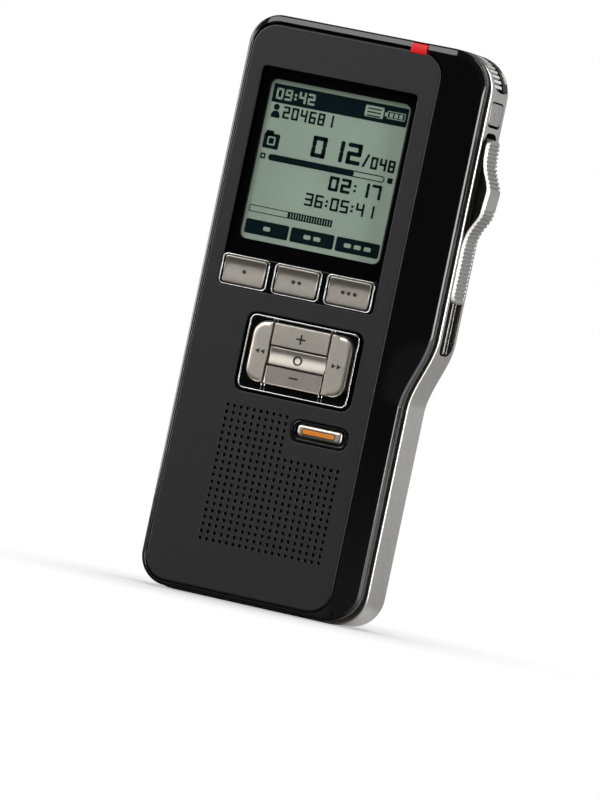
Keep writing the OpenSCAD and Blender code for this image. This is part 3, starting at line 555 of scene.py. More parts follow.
def lerp_ring(a, b, s):
    return [(p[0] + (q[0] - p[0]) * s, p[1] + (q[1] - p[1]) * s) for p, q in zip(a, b)]


def speaker_area():
    """The stepped area that the speaker holes cover."""
    area = span("speaker_cloth")
    step_x, step_z = PILL.x0 - 0.4, PILL.z0 - 3.2
    return [(area.x0, area.z1), (step_x, area.z1), (step_x, step_z), (area.x1, step_z), (area.x1, area.z0),
            (area.x0, area.z0)]


def build_front_shell():
    gap_top = 0.6
    wall = panel_outline(0.15, top=gap_top)
    inner = panel_outline(0.25, top=gap_top + 0.08)
    outer = shell_ring(SHELL_EDGE, SHELL_TOP_EDGE)
    rings = [at_depth(wall, FLOOR + 0.9), at_depth(wall, SHELL_FACE + 0.1)]
    rings += [at_depth(lerp_ring(inner, outer, s / 20), shell_face) for s in (0, *range(1, 20, 2), 20)]
    for across, back, top_across, top_back in edge_profile():
        def depth(x, z, low=back * SHELL_EDGE, high=top_back * SHELL_TOP_DROP):
            return shell_face(x, z) + low + (high - low) * near_top(z)
        ring = shell_ring(SHELL_EDGE * (1 - across), SHELL_TOP_EDGE * (1 - top_across))
        rings.append(at_depth(ring, depth))
    seam = BAND.y0
    rings += [at_depth(shell_ring(0.0), seam - 0.4), at_depth(shell_ring(0.0), seam - 0.35),
              at_depth(shell_ring(0.25), seam - 0.1), at_depth(shell_ring(0.5), seam),
              at_depth(case_outline(2.2), seam), at_depth(case_outline(2.4), FRONT + 3.8),
              at_depth(panel_outline(-1.0, corner=5.5), FLOOR + 1.3)]
    shell = loft("front_shell_skin", rings, 30.0)
    through = [prism("cut", round_rect(*opening.face(-0.1), 0.8), FRONT - 1, FRONT + 4)
               for opening in (PAD, FKEYS, PILL, WINDOW)]
    speaker = prism("cut", speaker_area(), FRONT - 1, FRONT + 4)
    notch = block("cut", LIGHT.x0 - 0.04, LIGHT.x1 + 0.04, FRONT - 1, FRONT + 1.9, LIGHT.z0 - 0.1, TOP + 1)
    carve(shell, *through, speaker, notch, limit=30.0)
    place(shell, GLOSS_BLACK, stands_for=["front_shell"])


def hole_centres():
    for row, count in enumerate(HOLE_ROWS):
        for col in range(count):
            yield HOLE_X0 + col * HOLE_PITCH, HOLE_TOP - row * HOLE_PITCH


def build_front_panel():
    loops = [(lambda e: panel_outline(-e), 0.35, 5),
             (rect_loop(FKEYS.x0 - 0.1, FKEYS.x1 + 0.1, FKEYS.z0 - 0.12, WINDOW.z1 + 0.15, 0.9, True),
              0.16, 3),
             (rect_loop(PAD.x0 - 0.85, PAD.x1 + 0.85, PAD.z0 - 0.6, PAD.z1 + 0.45, 2.0, True), 0.16, 3),
             (rect_loop(*PILL.face(0.1), 2.0, True), 0.16, 3)]
    loops += [(circle_loop(x, z, HOLE_R), 0.05, 1) for x, z in hole_centres()]
    panel = slab("front_panel_plate", loops, FRONT, FLOOR)
    notch = block("cut", LIGHT.x0 - 0.08, LIGHT.x1 + 0.08, FRONT - 1, FLOOR + 1, LIGHT.z0 - 0.05, TOP)
    carve(panel, notch)
    place(panel, CHARCOAL, stands_for=["front_panel"])
    cloth = prism("speaker_cloth_sheet", speaker_area(), FLOOR, FLOOR + 0.2)
    place(cloth, CLOTH, stands_for=["speaker_cloth"])


def corner_oval(a0, a1, half, r0, r1):
    """A cutter bent round the top right corner whose two ends are half ovals, end long."""
    middle, end, steps = 2.6, 1.5, 44
    cx, cz = RIGHT - CORNER_TOP, TOP - CORNER_TOP
    rings = []
    for i in range(steps + 1):
        a = math.radians(a0 + (a1 - a0) * (0.5 - 0.5 * math.cos(math.pi * i / steps)))
        reach = min(a - math.radians(a0), math.radians(a1) - a) * CORNER_TOP / end
        wide = max(half * math.sqrt(max(1 - max(1 - reach, 0.0) ** 2, 0.0)), 0.05)
        corners = ((middle - wide, r0), (middle + wide, r0), (middle + wide, r1), (middle - wide, r1))
        rings.append([(cx + r * math.cos(a), y, cz + r * math.sin(a)) for y, r in corners])
    return loft("cut", rings)


def side_cut(y0, y1, z0, z1, r):
    """A rounded hole through the right wall."""
    return facing(prism("cut", round_rect(y0, y1, z0, z1, r, 8), -RIGHT - 1, -RIGHT + 3), "right")


def build_side_frame():
    chamfer = 0.19
    y0, y1 = BAND.y0, BAND.y1
    outer = [(y0, chamfer + 0.05), (y0 + 0.02, chamfer), (y0 + chamfer, 0.0), (y0 + chamfer + 0.05, 0.0),
             (y1 - 0.3, 0.0), (y1 - 0.1, 0.08), (y1, 0.3), (y1, WALL), (y0, WALL)]
    rings = [at_depth(case_outline(e), y) for y, e in outer]
    bm = bmesh.new()
    made = [[bm.verts.new(p) for p in ring] for ring in rings]
    strip(bm, made + made[:1])
    frame_skin = piece("side_frame_skin", bm, 20.0)
    gap = 0.15
    cuts = [side_cut(KNOB.y0 - 0.3, KNOB.y1 + 0.3, SLOT_LOW, SLOT_HIGH, 2.4),
            side_cut(NEW.y0 - 0.26, NEW.y1 + 0.26, NEW.z0 - 0.5, NEW.z1 + 0.28, 1.3),
            corner_oval(7, 82, 4.5, CORNER_TOP - WALL - 1, CORNER_TOP + 1),
            block("cut", LEFT - 1, LEFT + 2, -0.8, 2.8, HOLD.z0 - 0.2, HOLD.z0 + 7.9, 0.3),
            block("cut", LEFT - 1, LEFT + 2, DOOR.y0 - gap, DOOR.y1 + 0.2, DOOR.z0 - gap, DOOR.z1 + gap, 0.2),
            block("cut", LEFT - 1, LEFT + 3.2, *POCKET[2:], 0.4)]
    cuts += [block("cut", port.x0 - 0.1, port.x1 + 0.1, port.y0 - 0.1, port.y1 + 0.1, -1, 2, 0.3)
             for port in (span("usb_port"), span("dock_connector"))]
    cuts += [lathe("cut", rod(2.85, 0, 4), (*span(jack).middle.xy, TOP - 2))
             for jack in ("ear_jack", "mic_jack")]
    carve(frame_skin, *cuts, limit=20.0)
    soften(frame_skin, 0.07, 2, 60.0, 20.0)
    place(frame_skin, SILVER, stands_for=["side_frame"])


def screw_centres():
    x0, x1, z0, z1 = span("case_screws").face(-SCREW_HEAD)
    return [(x, z) for x in (x0, x1) for z in (z0, z1)]


def build_rear_shell():
    seam = BAND.y1
    step, round_in = 0.45, 2.1
    round_back = BACK - seam - 0.25
    profile = [(seam, 0.9), (seam + 0.12, step + 0.05)]
    profile += [(seam + 0.25 + round_back * math.sin(a), step + round_in * (1 - math.cos(a)))
                for a in (math.radians(90 * i / 10) for i in range(11))]
    shell = loft("rear_shell_skin", [at_depth(case_outline(e), y) for y, e in profile], 25.0)
    cavity = loft("cut", [at_depth(case_outline(1.7), seam - 1), at_depth(case_outline(2.9), BACK - 1.15)])
    cuts = [cavity,
            block("cut", COVER.x0 - 0.2, COVER.x1 + 0.2, seam - 1, BACK + 1, COVER.z0 - 0.2, COVER.z1 + 0.2,
                  0.3),
            prism("cut", round_rect(*span("cover_release").face(-0.45), 0.8), BACK - 3, BACK + 1),
            prism("cut", round_rect(*span("rating_plate").face(0.1), 1.1), BACK - 0.3, BACK + 1)]
    cuts += [lathe("cut", rod(1.65, -1.3, 1), (x, BACK, z), "Y") for x, z in screw_centres()]
    carve(shell, *cuts, limit=25.0)
    soften(shell, 0.1, 2, 50.0, 25.0)
    place(shell, MATT_BLACK, stands_for=["rear_shell"])


build_front_shell()
build_front_panel()
build_side_frame()
build_rear_shell()

# ---- Display ----------------------------------------------------------------------------------

VIEW = VIEW_X0, VIEW_X1, VIEW_Z0, VIEW_Z1 = -18.9, 10.85, 69.6, 101.1
LCD_FACE = LCD.y0
INK = 0.03


def build_display():
    pane = rect_loop(*WINDOW.face(), 0.8)
    lens = slab("display_lens", [(pane, 0.15, 3)], WINDOW.y0, WINDOW.y1 - 0.1)
    place(lens, LENS, stands_for=["display_window"])
    border = slab("display_border", [(pane, 0.02, 1), (rect_loop(*VIEW, 1.3, True), 0.02, 1)],
                  WINDOW.y1 - 0.08, WINDOW.y1)
    place(border, PRINT)
    glass = slab("display_glass", [(rect_loop(*LCD.face(), 0.5), 0.1, 2)], LCD_FACE, LCD.y1)
    place(glass, LCD_GREEN_GLOW, stands_for=["display_module"])


def screen(u, v):
    """A place on the display from its share of the width and, downwards, of the height."""
    return VIEW_X0 + u * (VIEW_X1 - VIEW_X0), VIEW_Z1 - v * (VIEW_Z1 - VIEW_Z0)


def mark(u0, v0, u1, v1, r=0.0, hollow=0.0, level=1):
    """A flat printed rectangle on the display; hollow leaves only a border that thick."""
    x0, z1 = screen(u0, v0)
    x1, z0 = screen(u1, v1)
    r = max(r, 0.02)
    loops = [(lambda e: round_rect(x0, x1, z0, z1, r, 3), 0.001, 1)]
    if hollow:
        loops.append((lambda e: round_rect(x0 + hollow, x1 - hollow, z0 + hollow, z1 - hollow,
                                           max(r - hollow, 0.02), 3), 0.001, 1))
    return slab("mark", loops, LCD_FACE - INK * level, LCD_FACE + 0.01)


def mark_shape(points):
    return prism("mark", [screen(u, v) for u, v in points], LCD_FACE - INK, LCD_FACE + 0.01)


# The lit segments of each digit from 0 to 9, clockwise from the top, with g in the middle
SEGMENTS = ("abcdef", "bc", "abged", "abgcd", "fgbc", "afgcd", "afgedc", "abc", "abcdefg", "abcdfg")


def digit(figure, u, v, width, height, stroke, level=1):
    """A seven-segment digit; sizes are shares of the display, stroke is in millimetres."""
    su, sv = stroke / (VIEW_X1 - VIEW_X0), stroke / (VIEW_Z1 - VIEW_Z0)
    middle = v + height / 2
    boxes = {"a": (u, v, u + width, v + sv), "g": (u, middle - sv / 2, u + width, middle + sv / 2),
             "d": (u, v + height - sv, u + width, v + height), "f": (u, v, u + su, middle),
             "b": (u + width - su, v, u + width, middle), "e": (u, middle, u + su, v + height),
             "c": (u + width - su, middle, u + width, v + height)}
    return [mark(*boxes[name], r=stroke * 0.3, level=level) for name in SEGMENTS[int(figure)]]


def number(figures, u, v, width, height, stroke, step, level=1):
    return [segment for i, figure in enumerate(figures)
            for segment in digit(figure, u + i * step, v, width, height, stroke, level)]


def clock(pairs, u, v, width, height, stroke, step, gap, level=1):
    """Pairs of digits with two dots between them."""
    made = []
    for i, pair in enumerate(pairs):
        start = u + i * (2 * step + gap)
        if i:
            dot = start - (step - width + gap) / 2 - 0.008
            made += [mark(dot, v + height * share, dot + 0.016, v + height * share + 0.015, level=level)
                     for share in (0.28, 0.62)]
        made += number(pair, start, v, width, height, stroke, step, level)
    return made


def build_display_marks():
    # Title bar: a time, a card with two lines on it, and a battery
    dark = [mark(0.02, 0.026, 0.972, 0.142, 0.3)]
    light = clock(("09", "42"), 0.045, 0.05, 0.05, 0.07, 0.42, 0.063, 0.034, 2)
    light += [mark(0.672, 0.048, 0.802, 0.118, 0.25, 0, 2), mark(0.828, 0.06, 0.955, 0.108, 0.2, 0.16, 2),
              mark(0.812, 0.072, 0.83, 0.096, 0.05, 0, 2)]
    light += [mark(0.845 + 0.034 * i, 0.07, 0.869 + 0.034 * i, 0.098, 0.05, 0, 2) for i in range(3)]
    dark += [mark(0.69, 0.062 + 0.022 * i, 0.784, 0.07 + 0.022 * i, 0.05, 0, 3) for i in range(3)]
    # Person, then a number that stands for a name
    cx, cz = screen(0.066, 0.17)
    dark.append(prism("mark", circle_loop(cx, cz, 0.62, 20)(0), LCD_FACE - INK, LCD_FACE))
    dark.append(mark_shape([(0.036, 0.236), (0.036, 0.216), (0.05, 0.194), (0.083, 0.194), (0.097, 0.216),
                            (0.097, 0.236)]))
    dark += number("204681", 0.116, 0.155, 0.047, 0.076, 0.4, 0.062)
    # Folder with a light square on it
    dark += [mark(0.022, 0.335, 0.132, 0.43, 0.3), mark(0.03, 0.318, 0.085, 0.35, 0.25)]
    light.append(mark(0.05, 0.355, 0.104, 0.408, 0.2, 0.26, 2))
    # File number, memory bar, times
    dark += number("012", 0.362, 0.296, 0.1, 0.132, 0.82, 0.124)
    dark.append(mark_shape([(0.726, 0.428), (0.742, 0.428), (0.772, 0.345), (0.756, 0.345)]))
    dark += number("048", 0.785, 0.355, 0.048, 0.076, 0.44, 0.061)
    dark += [mark(0.08, 0.46, 0.9, 0.5, 0.5, 0.2), mark(0.085, 0.464, 0.685, 0.496, 0.4),
             mark(0.022, 0.463, 0.058, 0.497, 0.1, 0.3), mark(0.922, 0.463, 0.958, 0.497, 0.1)]
    dark += clock(("02", "17"), 0.53, 0.52, 0.068, 0.09, 0.58, 0.085, 0.045)
    dark += clock(("36", "05", "41"), 0.39, 0.65, 0.056, 0.08, 0.42, 0.07, 0.04)
    # Level bar: an outline and a hatched end
    dark.append(mark(0.022, 0.787, 0.3, 0.83, 0.1, 0.15))
    dark += [mark(0.3 + 0.0185 * i, 0.787, 0.3125 + 0.0185 * i, 0.83) for i in range(17)]
    dark += [mark(0.3, 0.787, 0.608, 0.793), mark(0.3, 0.824, 0.608, 0.83)]
    # Soft-key labels, each with one, two or three light bars
    for i in range(3):
        left = 0.02 + 0.321 * i
        dark.append(mark(left, 0.875, left + 0.305, 0.965, 0.35))
        for j in range(i + 1):
            bar = left + 0.1525 + (j - i / 2) * 0.07
            light.append(mark(bar - 0.024, 0.907, bar + 0.024, 0.933, 0.2, 0, 2))
    place(join("display_segments", dark), LCD_INK)
    place(join("display_light_marks", light), LCD_GREEN_GLOW)


build_display()
build_display_marks()

# ---- Front keys -------------------------------------------------------------------------------

KEY_FACE = FRONT - 0.4
PAD_FACE = FRONT - 0.8
KEY_BACK = -6.1
FKEY_X0, FKEY_PITCH, FKEY_W, FKEY_Z0, FKEY_Z1 = -19.9, 11.0, 8.6, 60.6, 65.8
PAD_X0, PAD_X1, PAD_Z0, PAD_Z1, PAD_R = -10.9, 9.8, 42.9, 54.7, 2.6
SPLIT_X0, SPLIT_X1, SPLIT_Z0, SPLIT_Z1 = -7.0, 5.05, 46.6, 50.3
SPLIT_GAP = 0.17


def dense_rect(x0, x1, z0, z1, radii, n=6, side=8):
    """A rounded rectangle with its own radius at each corner, and points along its straight sides too."""
    tl, tr, br, bl = radii
    corners = [arc(x0 + tl, z1 - tl, tl, 180, 90, n), arc(x1 - tr, z1 - tr, tr, 90, 0, n),
               arc(x1 - br, z0 + br, br, 0, -90, n), arc(x0 + bl, z0 + bl, bl, -90, -180, n)]
    points = []
    for i, corner in enumerate(corners):
        points += corner
        start, end = corner[-1], corners[(i + 1) % 4][0]
        points += [(start[0] + (end[0] - start[0]) * k / side, start[1] + (end[1] - start[1]) * k / side)
                   for k in range(1, side)]
    return points


def dense_loop(x0, x1, z0, z1, radii):
    return lambda e: dense_rect(x0 + e, x1 - e, z0 + e, z1 - e,
                                [max(min(r - e, x1 - x0 - 2 * e - 0.15), 0.02) for r in radii])


def ring_slab(name, x0, x1, z0, z1, r, width, y0, y1, edge):
    """A raised rim round a rounded rectangle."""
    return slab(name, [(rect_loop(x0, x1, z0, z1, r), edge, 3),
                       (rect_loop(x0 + width, x1 - width, z0 + width, z1 - width, max(r - width, 0.1), True),
                        edge, 3)], y0, y1)


def scoop(z0, z1, lip, depth, fall):
    """A key face with a raised lip along its top, a scoop below it, and a face that then comes forward."""
    def shape(x, z):
        t = (z1 - z) / (z1 - z0)
        down = ease(t / lip)
        back = max(t - lip, 0.0) / (1 - lip)
        return depth * down - fall * ease(back)
    return shape


def build_function_keys():
    lefts = [FKEY_X0 + FKEY_PITCH * i for i in range(3)]
    holes = [(rect_loop(x - 0.2, x + FKEY_W + 0.2, FKEY_Z0 - 0.2, FKEY_Z1 + 0.1, 0.6, True), 0.05, 1)
             for x in lefts]
    base = slab("function_key_base", [(rect_loop(*FKEYS.face(), 0.8), 0.06, 2)] + holes, FKEYS.y0 + 0.5,
                FKEYS.y1)
    place(base, GLOSS_BLACK, stands_for=["function_key_bezel"])
    rims = [ring_slab("rim", x - 0.58, x + FKEY_W + 0.72, FKEY_Z0 - 0.52, FKEY_Z1 + 0.36, 0.95, 0.2,
                      FKEYS.y0 - 0.12, FKEYS.y0 + 0.6, 0.09) for x in lefts]
    place(join("function_key_rims", rims), CHROME)
    for i, x in enumerate(lefts):
        key = pillow(f"f{i + 1}_key_cap", dense_loop(x, x + FKEY_W, FKEY_Z0, FKEY_Z1, [0.5] * 4), KEY_FACE,
                     KEY_BACK, 0.3, 4, scoop(FKEY_Z0, FKEY_Z1, 0.28, 0.4, 0.12),
                     (0.42, 0.6, 0.85, 1.1, 1.4, 1.7, 2.0, 2.3, 2.5))
        place(key, CHAMPAGNE, f"f{i + 1}", [f"f{i + 1}_key"])
        dots = []
        for j in range(i + 1):
            cx = x + FKEY_W / 2 + (j - i / 2) * 1.25
            cz = (FKEY_Z0 + FKEY_Z1) / 2 - 0.1
            dots.append(lathe("dot", rod(0.36, 0, 0.2), (cx, KEY_FACE + 0.2, cz), "Y", 20))
        place(join(f"f{i + 1}_key_dots", dots), KEY_PRINT_AND_SHADE, f"f{i + 1}")


def pad_roll(x, z):
    """How far the pad falls away near its outer rounded edge, and down its middle column."""
    roll = 0.8
    cx = min(max(x, PAD_X0 + PAD_R), PAD_X1 - PAD_R)
    cz = min(max(z, PAD_Z0 + PAD_R), PAD_Z1 - PAD_R)
    inside = PAD_R - math.hypot(x - cx, z - cz)
    side = min(x - PAD_X0, PAD_X1 - x)
    near = max(0.0, 1 - max(inside, 0) / roll) if side < PAD_R + 0.5 else 0.0
    lean = 0.0025 * (PAD_Z1 - z) ** 2 if SPLIT_X0 < x < SPLIT_X1 else 0.0
    return 0.42 * (1 - math.sqrt(max(1 - near * near, 0.0))) + lean


def triangle(cx, cz, size, way, y):
    """A small arrow head that points left (-1) or right (+1)."""
    points = [(cx + way * size, cz), (cx - way * size * 0.7, cz + size * 0.95),
              (cx - way * size * 0.7, cz - size * 0.95)]
    return prism("arrow", points[::way], y - 0.02, y + 0.2)


def build_pad():
    opening = rect_loop(PAD_X0 - 0.12, PAD_X1 + 0.12, PAD_Z0 - 0.12, PAD_Z1 + 0.12, PAD_R, True)
    base = slab("pad_base", [(rect_loop(*PAD.face(-0.1), 1.2), 0.06, 2), (opening, 0.1, 2)], PAD.y0 + 0.35,
                PAD.y1)
    place(base, GLOSS_BLACK, stands_for=["nav_bezel"])
    bars = [ring_slab("rim", *PAD.face(), 1.3, 0.26, PAD.y0 - 0.1, PAD.y1, 0.1)]
    beside, half = 0.34, 0.09
    for x in (SPLIT_X0 - beside, SPLIT_X0 + beside, SPLIT_X1 - beside, SPLIT_X1 + beside):
        for z0, z1 in ((PAD.z0 + 0.2, PAD_Z0 - 0.15), (PAD_Z1 + 0.15, PAD.z1 - 0.2)):
            bars.append(block("bar", x - half, x + half, PAD.y0 - 0.02, PAD.y0 + 0.6, z0, z1, 0.04))
    place(join("pad_rims", bars), CHROME)
    gap, r, tight = SPLIT_GAP, PAD_R, 0.1
    middle_x = SPLIT_X0 + gap, SPLIT_X1 - gap
    spans = {"rewind": (PAD_X0, SPLIT_X0 - gap, PAD_Z0, PAD_Z1, (r, tight, tight, r)),
             "forward": (SPLIT_X1 + gap, PAD_X1, PAD_Z0, PAD_Z1, (tight, r, r, tight)),
             "plus": (*middle_x, SPLIT_Z1 + gap, PAD_Z1, [tight] * 4),
             "ok": (*middle_x, SPLIT_Z0 + gap, SPLIT_Z1 - gap, [tight] * 4),
             "minus": (*middle_x, PAD_Z0, SPLIT_Z0 - gap, [tight] * 4)}
    for name, (x0, x1, z0, z1, radii) in spans.items():
        half = min(x1 - x0, z1 - z0) / 2
        insets = [0.14, 0.2] + [half * s for s in (0.18, 0.28, 0.4, 0.52, 0.64, 0.76, 0.88, 0.96)]
        face = PAD_FACE + 0.45 if name == "ok" else PAD_FACE
        shape = scoop(z0, z1, 0.3, 0.22, 0.16) if name == "ok" else pad_roll
        key = pillow(f"{name}_key_cap", dense_loop(x0, x1, z0, z1, radii), face, KEY_BACK, 0.1, 2, shape,
                     sorted(insets), 40.0)
        place(key, LIT_CHAMPAGNE, name, [f"{name}_key"])
    build_pad_signs()


def build_pad_signs():
    mid_x, y = (SPLIT_X0 + SPLIT_X1) / 2, PAD_FACE
    plus_z, minus_z, reach, stroke = 52.48, 44.83, 0.95, 0.18

    def stroke_block(name, z, half_x, half_z, face):
        return block(name, mid_x - half_x, mid_x + half_x, face - 0.02, face + 0.3, z - half_z, z + half_z)

    plus = [stroke_block("sign", plus_z, reach, stroke, y), stroke_block("sign", plus_z, stroke, reach, y)]
    place(join("plus_key_sign", plus), KEY_PRINT_AND_SHADE, "plus")
    minus = stroke_block("minus_key_sign", minus_z, reach, stroke, y + pad_roll(mid_x, minus_z))
    place(minus, KEY_PRINT_AND_SHADE, "minus")
    ring = lathe("ok_key_sign", tube(0.62, 0.95, 0, 0.3), (mid_x, y + 0.53, (SPLIT_Z0 + SPLIT_Z1) / 2 - 0.1),
                 "Y", 32)
    place(ring, KEY_PRINT_AND_SHADE, "ok")
    middle = (PAD_Z0 + PAD_Z1) / 2
    for name, x, way in (("rewind", -8.75, -1), ("forward", 7.2, 1)):
        arrows = [triangle(x - 0.55, middle, 0.52, way, y), triangle(x + 0.55, middle, 0.52, way, y)]
        place(join(f"{name}_key_sign", arrows), KEY_PRINT_AND_SHADE, name)


def build_erase_button():
    x0, x1, z0, z1 = 1.9, 11.2, 34.3, 36.6
    pill = slab("erase_surround", [(rect_loop(*PILL.face(), 1.95), 0.3, 4),
                                   (rect_loop(x0 - 0.55, x1 + 0.4, z0 - 0.45, z1 + 0.3, 1.1, True), 0.3, 4)],
                PILL.y0 + 0.15, PILL.y1)
    place(pill, GLOSS_BLACK, stands_for=["erase_bezel"])
    key = pillow("erase_key_cap", dense_loop(x0, x1, z0, z1, [0.75] * 4), KEY_FACE + 0.1, KEY_BACK, 0.5, 5,
                 None, (0.56, 0.7))
    place(key, LIT_CHAMPAGNE, "erase", ["erase_button"])
    inlay = slab("erase_colour_bar", [(rect_loop(3.0, 9.7, 34.85, 35.75, 0.4), 0.08, 3)], KEY_FACE + 0.04,
                 KEY_FACE + 0.7)
    place(inlay, ORANGE, "erase", ["erase_inlay"])
    # A dark ring round the orange bar: painted shadow, for the shade in the bar's recess.
    border = slab("erase_bar_shadow", [(rect_loop(2.8, 9.9, 34.67, 35.93, 0.55), 0.01, 1),
                                       (rect_loop(3.05, 9.65, 34.9, 35.7, 0.35, True), 0.01, 1)],
                  KEY_FACE + 0.085, KEY_FACE + 0.3)
    place(border, KEY_PRINT_AND_SHADE, "erase")


build_function_keys()
build_pad()
build_erase_button()

# ---- Record light and microphone corner ---------------------------------------------------------

def build_record_light():
    y, low, high = LIGHT.y0, LIGHT.z0, LIGHT.z1
    profile = [(y, low), (y, high - 1.05), (y + 0.45, high), (y + 2.0, high), (y + 2.0, low)]
    bar = loft("record_light_lens", [[(x, y, z) for y, z in profile] for x in (LIGHT.x0, LIGHT.x1)])
    lens = soften(bar, 0.14, 3, 30.0)
    place(lens, RED, stands_for=["record_light"])


def bent_bar(name, y0, y1, bottom, top, edge, a0, a1, steps=24):
    """A bar with rounded edges, bent round the top right corner; bottom and top are depths in the case."""
    cx, cz = RIGHT - CORNER_TOP, TOP - CORNER_TOP
    section = round_rect(y0, y1, CORNER_TOP - bottom, CORNER_TOP - top, edge, 4)
    turns = [math.radians(a0 + (a1 - a0) * i / steps) for i in range(steps + 1)]
    return loft(name, [[(cx + r * math.cos(a), y, cz + r * math.sin(a)) for y, r in section] for a in turns])


def build_microphone_corner():
    cap = bent_bar("mic_cap", 3.1, 6.55, 1.7, 0.03, 0.45, 8.5, 80.5)
    combine(cap, [corner_oval(8, 81, 4.4, CORNER_TOP - 3, CORNER_TOP + 1)], "INTERSECT")
    place(cap, MIC_BLACK, stands_for=["mic_grille"])
    place(bent_bar("mic_well", -1.9, 3.2, 1.95, 1.4, 0.1, 6, 83), MIC_BLACK)
    louvres = [bent_bar("louvre", -1.75, 2.8, 1.5, 0.06, 0.3, a - 2.2, a + 2.2, 3)
               for a in (15.5 + 8.2 * i for i in range(8))]
    place(join("mic_louvres", louvres), PALE_METAL_AND_HIGHLIGHT)
    # A pale strip bent along the black cap: a painted highlight where the cap would catch light, not a real
    # part.
    highlight_strip = bent_bar("mic_painted_highlight", 4.9, 5.8, 0.3, 0.005, 0.12, 24, 42, 16)
    place(highlight_strip, PALE_METAL_AND_HIGHLIGHT)


# ---- Right side ---------------------------------------------------------------------------------

def build_new_button():
    face = span("new_button").x1
    loop = dense_loop(NEW.y0, NEW.y1, NEW.z0, NEW.z1, [1.0] * 4)
    cap = pillow("new_file_cap", loop, -face, -face + 2.2, 0.3, 4,
                 lambda y, z: 0.12 * math.cos(min(abs(y - 1.0) / 3.2, 1.0) * math.pi / 2),
                 (0.4, 0.6, 0.9, 1.3, 1.7, 2.05))
    place(facing(cap, "right"), KNOB_GREY, "new_file_button", ["new_button"])
    dot = lathe("new_file_dot", tube(0.3, 0.55, 0, 0.4), (face - 0.47, *NEW.middle.yz), "X", 24)
    place(dot, STEEL, "new_file_button")


HUMP_Z = 85.6
SMOOTH_Z = 86.2
KNOB_UNDER = RIGHT - 0.38
KNOB_STEPS = 90


def knob_x(z):
    """The slide switch's outer surface: a fuller upper half, and a hump for the thumb."""
    off = max(abs(z - HUMP_Z) - 1.9, 0.0) / 3.6
    return RIGHT + 0.45 + 0.65 * ease((z - 80) / 12) + 2.2 * math.exp(-off * off)


def knob_ring(z, x, rib=0.0, front=0.5, rear=0.25, grow=0.0):
    """One level of the slide switch: ribs lie between two smooth bevels, and both ends are round."""
    r = 1.8
    near = max(r - min(z - KNOB.z0, KNOB.z1 - z), 0.0)
    inset = r - math.sqrt(max(r * r - near * near, 0.0)) - grow
    y0, y1 = KNOB.y0 + inset, KNOB.y1 - inset
    low_front, low_rear = max(x - front, KNOB_UNDER + 0.02), max(x - rear, KNOB_UNDER + 0.02)
    bite = min(rib, 0.14)
    return [(KNOB_UNDER, y0, z), (low_front, y0, z), (x - bite, y0 + front - bite, z),
            (x - rib, y0 + front - bite + 0.06, z), (x - rib, y1 - rear, z), (x - bite, y1 - rear + bite, z),
            (low_rear, y1, z), (KNOB_UNDER, y1, z)]


def build_slide_knob():
    pitch, depth = 0.79, 0.3
    low, high = KNOB.z0, KNOB.z1
    end = [(0.0, -0.3), (0.06, -0.2), (0.16, -0.1), (0.3, -0.03), (0.5, 0.0), (0.7, 0.0)]
    levels = [(low + d, dx, 0.0) for d, dx in end]
    z = low + 0.9
    while z < high - 1.4:
        if abs(z + pitch / 2 - SMOOTH_Z) > 1.9:
            levels += [(z, 0.0, 0.0), (z + 0.12, 0.0, depth), (z + 0.36, 0.0, depth), (z + 0.5, 0.0, 0.0)]
        else:
            levels.append((z + 0.3, 0.0, 0.0))
        z += pitch
    levels += [(high - d, dx, 0.0) for d, dx in reversed(end)]
    cap = loft("slide_knob_cap", [knob_ring(z, knob_x(z) + dx, rib) for z, dx, rib in levels], 24.0)
    place(cap, KNOB_GREY, "slide_switch", ["slide_knob"])
    inner = [low + 0.1 + (high - low - 0.2) * i / KNOB_STEPS for i in range(KNOB_STEPS + 1)]
    core = loft("slide_knob_core", [knob_ring(z, knob_x(z) - 0.55, front=0.02, rear=0.02, grow=0.02)
                                    for z in inner])
    place(core, DARK_CHROME, "slide_switch")


def build_slide_track():
    x0, x1 = TRACK.x0, TRACK.x1
    base = facing(slab("slide_track_floor", [(rect_loop(TRACK.y0 + 0.05, TRACK.y1 - 0.05, TRACK.z0, TRACK.z1,
                                                        2.2), 0.05, 1)], -x0 - 0.4, -x0), "right")
    place(base, MATT_BLACK, stands_for=["slide_track"])
    rails = [block("rail", x0, RIGHT - drop, y0, y1, TRACK.z0 + 1.4, TRACK.z1 - 1.4, edge, 3)
             for y0, y1, drop, edge in ((1.3, 2.0, 0.45, 0.2), (3.5, 3.8, 0.6, 0.1))]
    place(join("slide_rails", rails), SILVER)


# ---- Left side ----------------------------------------------------------------------------------

def build_hold_switch():
    y0, y1 = HOLD.y0, HOLD.y1
    cap = pillow("hold_switch_cap", dense_loop(-y1, -y0, HOLD.z0, HOLD.z1, [0.5] * 4), HOLD.x0 + 0.25,
                 HOLD.x0 + 2.2, 0.25, 3, None, (0.35, 0.6))
    ridges = [block("ridge", HOLD.x0, HOLD.x0 + 0.5, y0 + 0.3, y1 - 0.3, z - 0.2, z + 0.2, 0.12, 2)
              for z in (HOLD.middle.z + step * 0.8 for step in (-2, -1, 0, 1, 2))]
    place(join("hold_switch_cap", [facing(cap, "left")] + ridges), KNOB_GREY, "hold_switch", ["hold_knob"])
    place(block("hold_switch_floor", LEFT + 1.3, LEFT + 1.6, y0 - 0.6, y1 + 0.6, HOLD.z0 - 0.6, HOLD.z0 + 8.4),
          MATT_BLACK)
    spot = lathe("hold_switch_mark", rod(0.5, 0, 0.1), (LEFT + 1.22, HOLD.middle.y, HOLD.z0 + 6.6), "X", 20)
    place(spot, ORANGE)


